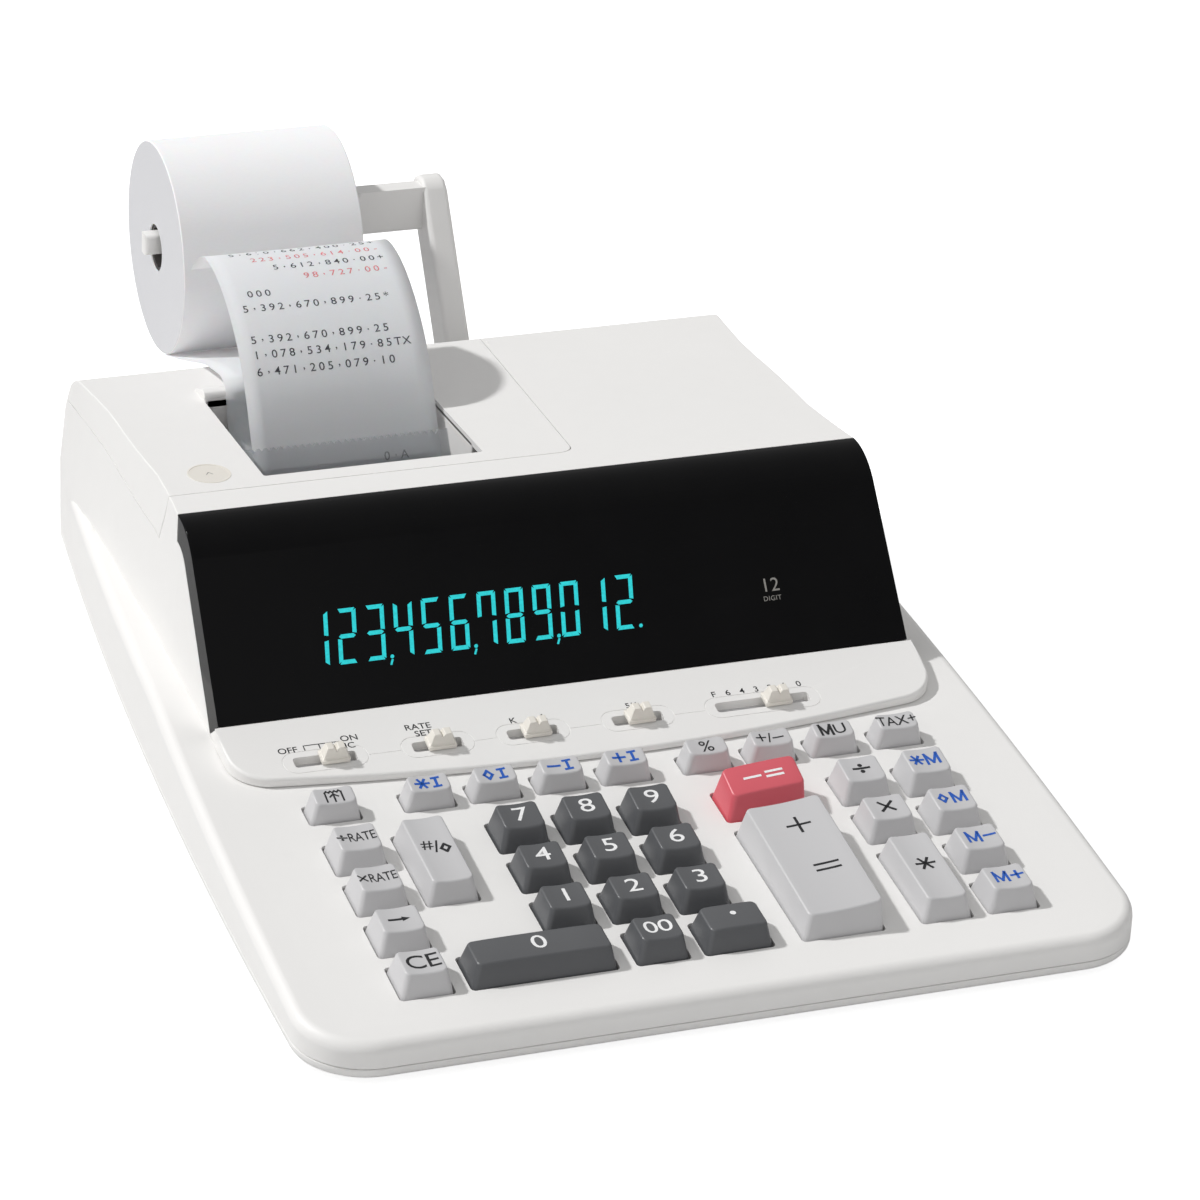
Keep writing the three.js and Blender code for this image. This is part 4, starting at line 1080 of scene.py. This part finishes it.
def displayShape(text):
    pitch = (display["right"] - display["left"]) / (len(text.replace(",", "").replace(".", "")) - 0.1)
    shapes = []
    x = display["left"]
    for mark in text:
        if mark in ",.":
            shapes.append(disc(x - 1.0, display["point"], display["point"]))
            if mark == ",":
                shapes.append(strokes([[(x - 1.0, -0.5), (x - 1.35, -1.5)]], 0.6))
            continue
        for kind in segmentsOf[mark]:
            lit = segment(kind, display["wide"], display["tall"], display["stroke"])
            bmesh.ops.translate(lit, verts=lit.verts, vec=(x, 0, 0))
            shapes.append(lit)
        x += pitch
    whole = joined(shapes)
    for vert in whole.verts:
        vert.co.x += vert.co.y * display["slant"]
    bmesh.ops.translate(whole, verts=whole.verts, vec=(0, display["rise"], 0))
    for face in whole.faces:
        if face.normal.z < 0:
            face.normal_flip()
    return whole


finishPiece(displayShape("123,456,789,012."), "displayDigits", "case", ["glow"], place=lensTurn)
digitWord = shapeText("DIGIT", 2.0, 1.1, 0.0)
bmesh.ops.translate(digitWord, verts=digitWord.verts, vec=(0, -3.8, 0))
capacity = joined([shapeText("12", 5.6, 1.05, 0.0), digitWord])
capacityTurn = lensTurn @ Matrix.Translation(display["capacityAt"])
finishPiece(capacity, "displayCapacity", "case", ["inkGrey"], place=capacityTurn)
print("display digits")


# ---- paper: the wound roll, its core, the web into the window and the printed strip ----
paper = {"left": -64.5, "width": 57, "thickness": 0.12, "roll": 33.0, "coreOuter": 7.3, "coreBore": 6.2,
         "charPitch": 2.7, "char": 3.7}
rollAxis = toMillimetres @ rollCentre
paperLeft, paperRight = rollLow.x / mm, rollHigh.x / mm


def smoothPath(points, steps):
    # a flowing line through every point
    spots = [Vector((0, *point)) for point in points]
    path = []
    for i in range(len(spots) - 1):
        before, start = spots[max(i - 1, 0)], spots[i]
        end, after = spots[i + 1], spots[min(i + 2, len(spots) - 1)]
        for k in range(steps):
            t = k / steps
            path.append(0.5 * (2 * start + (end - before) * t + (2 * before - 5 * start + 4 * end - after) * t * t
                               + (3 * start - before - 3 * end + after) * t ** 3))
    return [*path, spots[-1]]


def lengthsOf(path):
    run = [0.0]
    for a, b in zip(path, path[1:]):
        run.append(run[-1] + (b - a).length)
    return run


def spotOn(path, runs, s):
    # the place and outward direction at a distance along the path
    i = max(k for k in range(len(runs) - 1) if runs[k] <= max(s, 0))
    step = path[i + 1] - path[i]
    t = (s - runs[i]) / max(step.length, 1e-6)
    return path[i] + step * t, Vector((0, -step.z, step.y)).normalized()


def sheetAlong(path, left, rightEdge, crossCuts):
    bm = bmesh.new()
    verts = [bm.verts.new((left, spot.y, spot.z)) for spot in path]
    edges = [bm.edges.new(pair) for pair in zip(verts, verts[1:])]
    width = (rightEdge - left) / crossCuts
    for i in range(crossCuts):
        grown = bmesh.ops.extrude_edge_only(bm, edges=edges)
        moved = [item for item in grown["geom"] if isinstance(item, bmesh.types.BMVert)]
        edges = [item for item in grown["geom"] if isinstance(item, bmesh.types.BMEdge)
                 and all(v in moved for v in item.verts)]
        bmesh.ops.translate(bm, verts=moved, vec=(width, 0, 0))
    bmesh.ops.recalc_face_normals(bm, faces=bm.faces)
    return bm


# the strip's route: round the feed roller, past the tear bar, up and over to its free end
stripPoints = [(84.4, 46.6), (80.6, 41.6), (74.6, 41.5), (70.6, 46.2), (70.4, 53), (72.2, 58.5), (75.6, 64.8),
               (79.2, 71.8), (83.6, 79.6), (89.6, 87.3), (97, 93.7), (105.2, 98.7), (113, 101.8),
               (121, 103.3), (129.5, 102.8), (137, 98.6), (142.4, 93.4)]
stripPath = smoothPath(stripPoints, 6)
stripRuns = lengthsOf(stripPath)
tearRun = stripRuns[6 * 4]


def bowed(x):
    # the sheet keeps a trace of the roll's side-to-side set
    across = (x - (paperLeft + paperRight) / 2) / (paper["width"] / 2)
    return 0.25 * across ** 2


strip = sheetAlong(stripPath, paperLeft, paperRight, 12)
for vert in strip.verts:
    outward = Vector((0, -0.6, 0.8))
    vert.co += outward * bowed(vert.co.x)
stripPiece = finishPiece(strip, "paperStrip", "case", ["thinPaper"], ["paper_strip"], angle=60)
thick = stripPiece.modifiers.new("sheetThickness", "SOLIDIFY")
thick.thickness, thick.offset = paper["thickness"] * mm, 0

# each printed row: text, ribbon, characters left blank before it, distance from the tear bar
printedRows = [("0.A", "ribbonBlack", 14, 6.3), (" 6,471,205,079.10", "ribbonBlack", 0, 34.6),
               (" 1,078,534,179.85TX", "ribbonBlack", 0, 39.8), (" 5,392,670,899.25", "ribbonBlack", 0, 44.6),
               (" 5,392,670,899.25*", "ribbonBlack", 0, 55.3), ("  000", "ribbonBlack", 0, 60.7),
               ("98,727.00-", "ribbonRed", 9, 66.4), ("5,612,840.00+", "ribbonBlack", 6, 71.6),
               ("223,505,614.00-", "ribbonRed", 4, 76.8), ("5,610,662,400.25+", "ribbonBlack", 2, 82.0)]
charMeshes = {}


def charMesh(letter):
    if letter not in charMeshes:
        # the printer's commas and points stand at half height
        drawn = shapeText(letter, paper["char"], 1.0, 0.012)
        if letter in ",.":
            bmesh.ops.translate(drawn, verts=drawn.verts, vec=(0, 1.0, 0))
        carrier = bpy.data.meshes.new("printed")
        drawn.to_mesh(carrier)
        drawn.free()
        charMeshes[letter] = carrier
    return charMeshes[letter]


def printRows(ink):
    whole = bmesh.new()
    lift = 0.5 * paper["thickness"] + 0.03
    for text, ribbon, skip, run in printedRows:
        if ribbon != ink:
            continue
        for i, letter in enumerate(text):
            if letter == " ":
                continue
            known = set(whole.verts)
            whole.from_mesh(charMesh(letter))
            x = paperLeft + 2.6 + (i + skip) * paper["charPitch"]
            for vert in [v for v in whole.verts if v not in known]:
                spot, outward = spotOn(stripPath, stripRuns, tearRun + run + vert.co.y * 0.95)
                across = x + vert.co.x
                vert.co = Vector((across, spot.y, spot.z)) + outward * lift + Vector((0, -0.6, 0.8)) * bowed(across)
    return whole


for ink, name in (("ribbonBlack", "printedLines"), ("ribbonRed", "printedRedLines")):
    finishPiece(printRows(ink), name, "case", [ink])

leave = math.radians(19)
rollOff = (rollAxis.y - (paper["roll"] + 0.25) * math.sin(leave), rollAxis.z - (paper["roll"] + 0.25) * math.cos(leave))
# the web's route: off the roll, over the ridge at the back of the window and down to the feed roller
brink = topAt(cover["windowBack"])
webPoints = [rollOff, (150, 60.4), (128, topAt(128) + 2.6), (118.6, topAt(118.6) + 4.4), (110.4, brink + 4.9),
             (106.4, brink + 4.5), (103.5, brink + 2.4), (102.4, brink - 2), (100.6, brink - 8), (94.5, brink - 14),
             (84.6, 47.6)]
web = sheetAlong(smoothPath(webPoints, 6), paperLeft, paperRight, 10)
webPiece = finishPiece(web, "paperWeb", None, ["thinPaper"], angle=60)
thick = webPiece.modifiers.new("sheetThickness", "SOLIDIFY")
thick.thickness, thick.offset = paper["thickness"] * mm, 0
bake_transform(webPiece)


def turned(profile, axis, sides):
    # a profile of (radius, x) turned about the roll's axis
    bm = bmesh.new()
    verts = [bm.verts.new((x, 0, radius)) for radius, x in profile]
    edges = [bm.edges.new(pair) for pair in zip(verts, verts[1:])]
    bmesh.ops.spin(bm, geom=[*verts, *edges], cent=(0, 0, 0), axis=(1, 0, 0), angle=math.tau, steps=sides,
                   use_merge=True)
    bmesh.ops.remove_doubles(bm, verts=bm.verts, dist=0.001)
    bmesh.ops.translate(bm, verts=bm.verts, vec=(0, axis.y, axis.z))
    bmesh.ops.recalc_face_normals(bm, faces=bm.faces)
    return bm


def rod(radius, left, rightEnd, axis, sides):
    return turned([(0.001, left), (radius, left), (radius, rightEnd), (0.001, rightEnd)], axis, sides)


def woundRoll():
    outer, bore = paper["roll"], paper["coreOuter"]
    ring = turned([(bore, paperLeft), (outer - 0.3, paperLeft), (outer, paperLeft + 0.3), (outer, paperRight - 0.3),
                   (outer - 0.3, paperRight), (bore, paperRight), (bore, paperLeft)], rollAxis, 128)
    for face in ring.faces:
        face.material_index = 1 if abs(face.normal.x) > 0.9 else 0
    return ring


finishPiece(woundRoll(), "paperRoll", "paper_roll", ["paper", "paperSide"], ["paper_roll"], angle=40)
bore, skin = paper["coreBore"], paper["coreOuter"]
coreRing = turned([(bore, paperLeft + 0.6), (skin, paperLeft + 0.4), (skin, paperRight - 0.4),
                   (bore, paperRight - 0.6), (bore, paperLeft + 0.6)], rollAxis, 64)
finishPiece(coreRing, "rollCore", "paper_roll", ["core"], ["roll_core"], angle=40)
print("paper")


# ---- paper arm ----
arm = {"left": 20.5, "right": 28.5, "half": 7.0, "footHalf": 5.5, "tip": -68.5, "shaftHalf": 3.0, "rootHeight": 14.4,
       "tipHeight": 6.6, "shaftBottom": -1.5, "pinLeft": 13.7, "pinRight": 35.3, "pin": 2.5, "round": 1.6}
shaftMiddle = Vector((0, rollAxis.y, rollAxis.z + arm["shaftBottom"] + arm["rootHeight"] / 2))
armUp = (shaftMiddle - pivot).normalized()
armSide = Vector((0, armUp.z, -armUp.y))
armLength = (shaftMiddle - pivot).length


def armPoint(along, across):
    spot = pivot + armUp * along + armSide * across
    return (spot.y, spot.z)


topMiddle = armLength + 1.0
half = arm["half"]
barOutline = [armPoint(along, across) for along, across in (
    (0, -arm["footHalf"]), (8, -half), (topMiddle + 2, -half), (topMiddle + 6, -half + 1.6),
    (topMiddle + 8.4, -half + 5), (topMiddle + 8.8, half - 5), (topMiddle + 7.4, half - 1.8), (topMiddle + 4, half), (8, half), (0, arm["footHalf"]))]
bar3d = prism(barOutline, "x", arm["left"], arm["right"])
roundEdges(bar3d, lambda edge: abs(edge.verts[0].co.x - edge.verts[1].co.x) < 0.1, arm["round"], 4)
hub = rod(arm["footHalf"], arm["left"] - 1.5, arm["right"] + 1.5, pivot, 40)
armBody = combine(bar3d, hub, "UNION")
armBody = combine(armBody, rod(arm["pin"], arm["pinLeft"], arm["pinRight"], pivot, 32), "UNION")


def shaftShape():
    # a flattened shaft, level underneath, slim inside the roll and rising to full height at the arm
    low = rollAxis.z + arm["shaftBottom"]
    slim, tall = low + arm["tipHeight"], low + arm["rootHeight"]
    root = arm["left"] + 1
    side = [(arm["tip"], low), (root, low), (root, tall), (paperRight + 7, tall), (paperRight + 2, slim),
            (arm["tip"], slim)]
    bm = prism(side, "y", rollAxis.y - arm["shaftHalf"], rollAxis.y + arm["shaftHalf"])
    def outsideArm(edge):
        return abs(edge.verts[0].co.y - edge.verts[1].co.y) < 0.1 and edge.verts[0].co.x < arm["left"]
    return roundEdges(bm, outsideArm, arm["round"], 4)


armBody = combine(armBody, shaftShape(), "UNION")
finishPiece(armBody, "paperArm", "paper_arm", ["shell"], ["paper_arm"], bevel=0.5, angle=40, segments=3)
print("paper arm")


# ---- small parts of the printer cover ----
back = cover["windowBack"]
ridge = prism([(back, brink - 1.6), (back, brink + 1.4), (back + 1, brink + 2.6), (back + 3.5, brink + 2.6),
               (back + 10.5, topAt(back + 10.5) + 0.4), (back + 10.5, topAt(back + 10.5) - 1.6)],
              "x", cover["windowLeft"], cover["windowRight"])
roundEdges(ridge, lambda edge: abs(edge.verts[0].co.x - edge.verts[1].co.x) > 10, 0.5, 3)
finishPiece(ridge, "paperRidge", "case", ["shell"], bevel=0.2)
catch = {"x": 26, "y": 127, "halfWide": 0.5, "halfDeep": 2, "lift": 0.12}
catchTop = topAt(catch["y"])
across, along = catch["halfWide"], catch["halfDeep"]
latchMark = roundedBox((catch["x"] - across, catch["y"] - along, catchTop - 0.6),
                       (catch["x"] + across, catch["y"] + along, catchTop + catch["lift"]), 0.4, 3)
finishPiece(latchMark, "coverCatch", "case", ["shell"])

# walls of the well under the window, at its two sides and its back
well = {"thick": 1.4, "deep": 21, "fromFront": 10, "backDeep": 22, "backLip": 0.2, "lip": 1.2}


def wellWall(low, high):
    block = roundedBox(low, high, 0.4, 2)
    for vert in block.verts:
        if vert.co.z > high[2] - 1:
            vert.co.z = topAt(vert.co.y) - well["lip"]
    return block


wellTop = topAt(cover["windowFront"])
for name, x0 in (("wellWallLeft", cover["windowLeft"] - well["thick"]), ("wellWallRight", cover["windowRight"])):
    wallBlock = wellWall((x0, cover["windowFront"] + well["fromFront"], wellTop - well["deep"]),
                         (x0 + well["thick"], cover["windowBack"], wellTop))
    finishPiece(wallBlock, name, "case", ["shell"], bevel=0.2)

backWall = roundedBox((cover["windowLeft"] - well["thick"], back, brink - well["backDeep"]),
                      (cover["windowRight"] + well["thick"], back + well["thick"], brink - well["backLip"]), 0.3, 2)
finishPiece(backWall, "wellWallBack", "case", ["shell"], bevel=0.2)

# thumb mark on the cover: a shallow round rim with a small arrow
thumb = {"x": -85.4, "y": 47.3, "halfWide": 6.2, "halfDeep": 7.4, "rim": 0.5, "lift": 0.12}
thumbTurn = Matrix.Translation((thumb["x"], thumb["y"], topAt(thumb["y"]))) @ Matrix.Rotation(-fallAngle, 4, "X")


def thumbOval(rim):
    angles = [math.tau * i / 48 for i in range(48)]
    return [((thumb["halfWide"] - rim) * math.cos(a), (thumb["halfDeep"] - rim) * math.sin(a)) for a in angles]


thumbMark = combine(prism(thumbOval(0), "z", -0.3, thumb["lift"]), prism(thumbOval(thumb["rim"]), "z", 0.02, 1))
finishPiece(thumbMark, "thumbMark", "case", ["knob"], angle=30, place=thumbTurn)
arrowMark = strokes([[(-0.9, -0.6), (0, 0.9), (0.9, -0.6)]], 0.28)
bmesh.ops.translate(arrowMark, verts=arrowMark.verts, vec=(0, 0, 0.05))
finishPiece(arrowMark, "thumbArrow", "case", ["inkGrey"], place=thumbTurn)

# CAD pieces whose shape is already right get their finish
keptNodes = {"tear_bar": "clear", "printer_frame": "metal", "feed_roller": "rubber", "ink_roller": "ink",
             "key_sheet": "rubber", "main_board": "board", "transformer": "metal", "display_tube": "tube",
             "foot_strip_front": "rubber", "foot_strip_rear": "rubber", "cord_bush": "dark"}
for name, key in keptNodes.items():
    node = frame["nodes"][name]
    node.data.materials.clear()
    node.data.materials.append(mats[key])
print("finishes on kept parts")

# the floor reads as plain white, and throws less of that light back on the case
floorGlow = {"bounced": 0.05, "seen": 0.8}
floorMesh = bmesh.new()
bmesh.ops.create_grid(floorMesh, x_segments=1, y_segments=1, size=4)
floor = toObject(floorMesh, "floor")
floorMaterial, floorTree, floorShader = startMaterial("paleFloor")
floorShader.inputs["Base Color"].default_value = (0.6, 0.6, 0.6, 1)
floorShader.inputs["Roughness"].default_value = 0.9
floorShader.inputs["Emission Color"].default_value = (1, 1, 1, 1)
seen = addNode(floorTree, "LightPath").outputs["Is Camera Ray"]
glow = addNode(floorTree, "MapRange", i0=seen, i1=0.0, i2=1.0, i3=floorGlow["bounced"], i4=floorGlow["seen"])
floorTree.links.new(glow.outputs[0], floorShader.inputs["Emission Strength"])
floor.data.materials.append(floorMaterial)
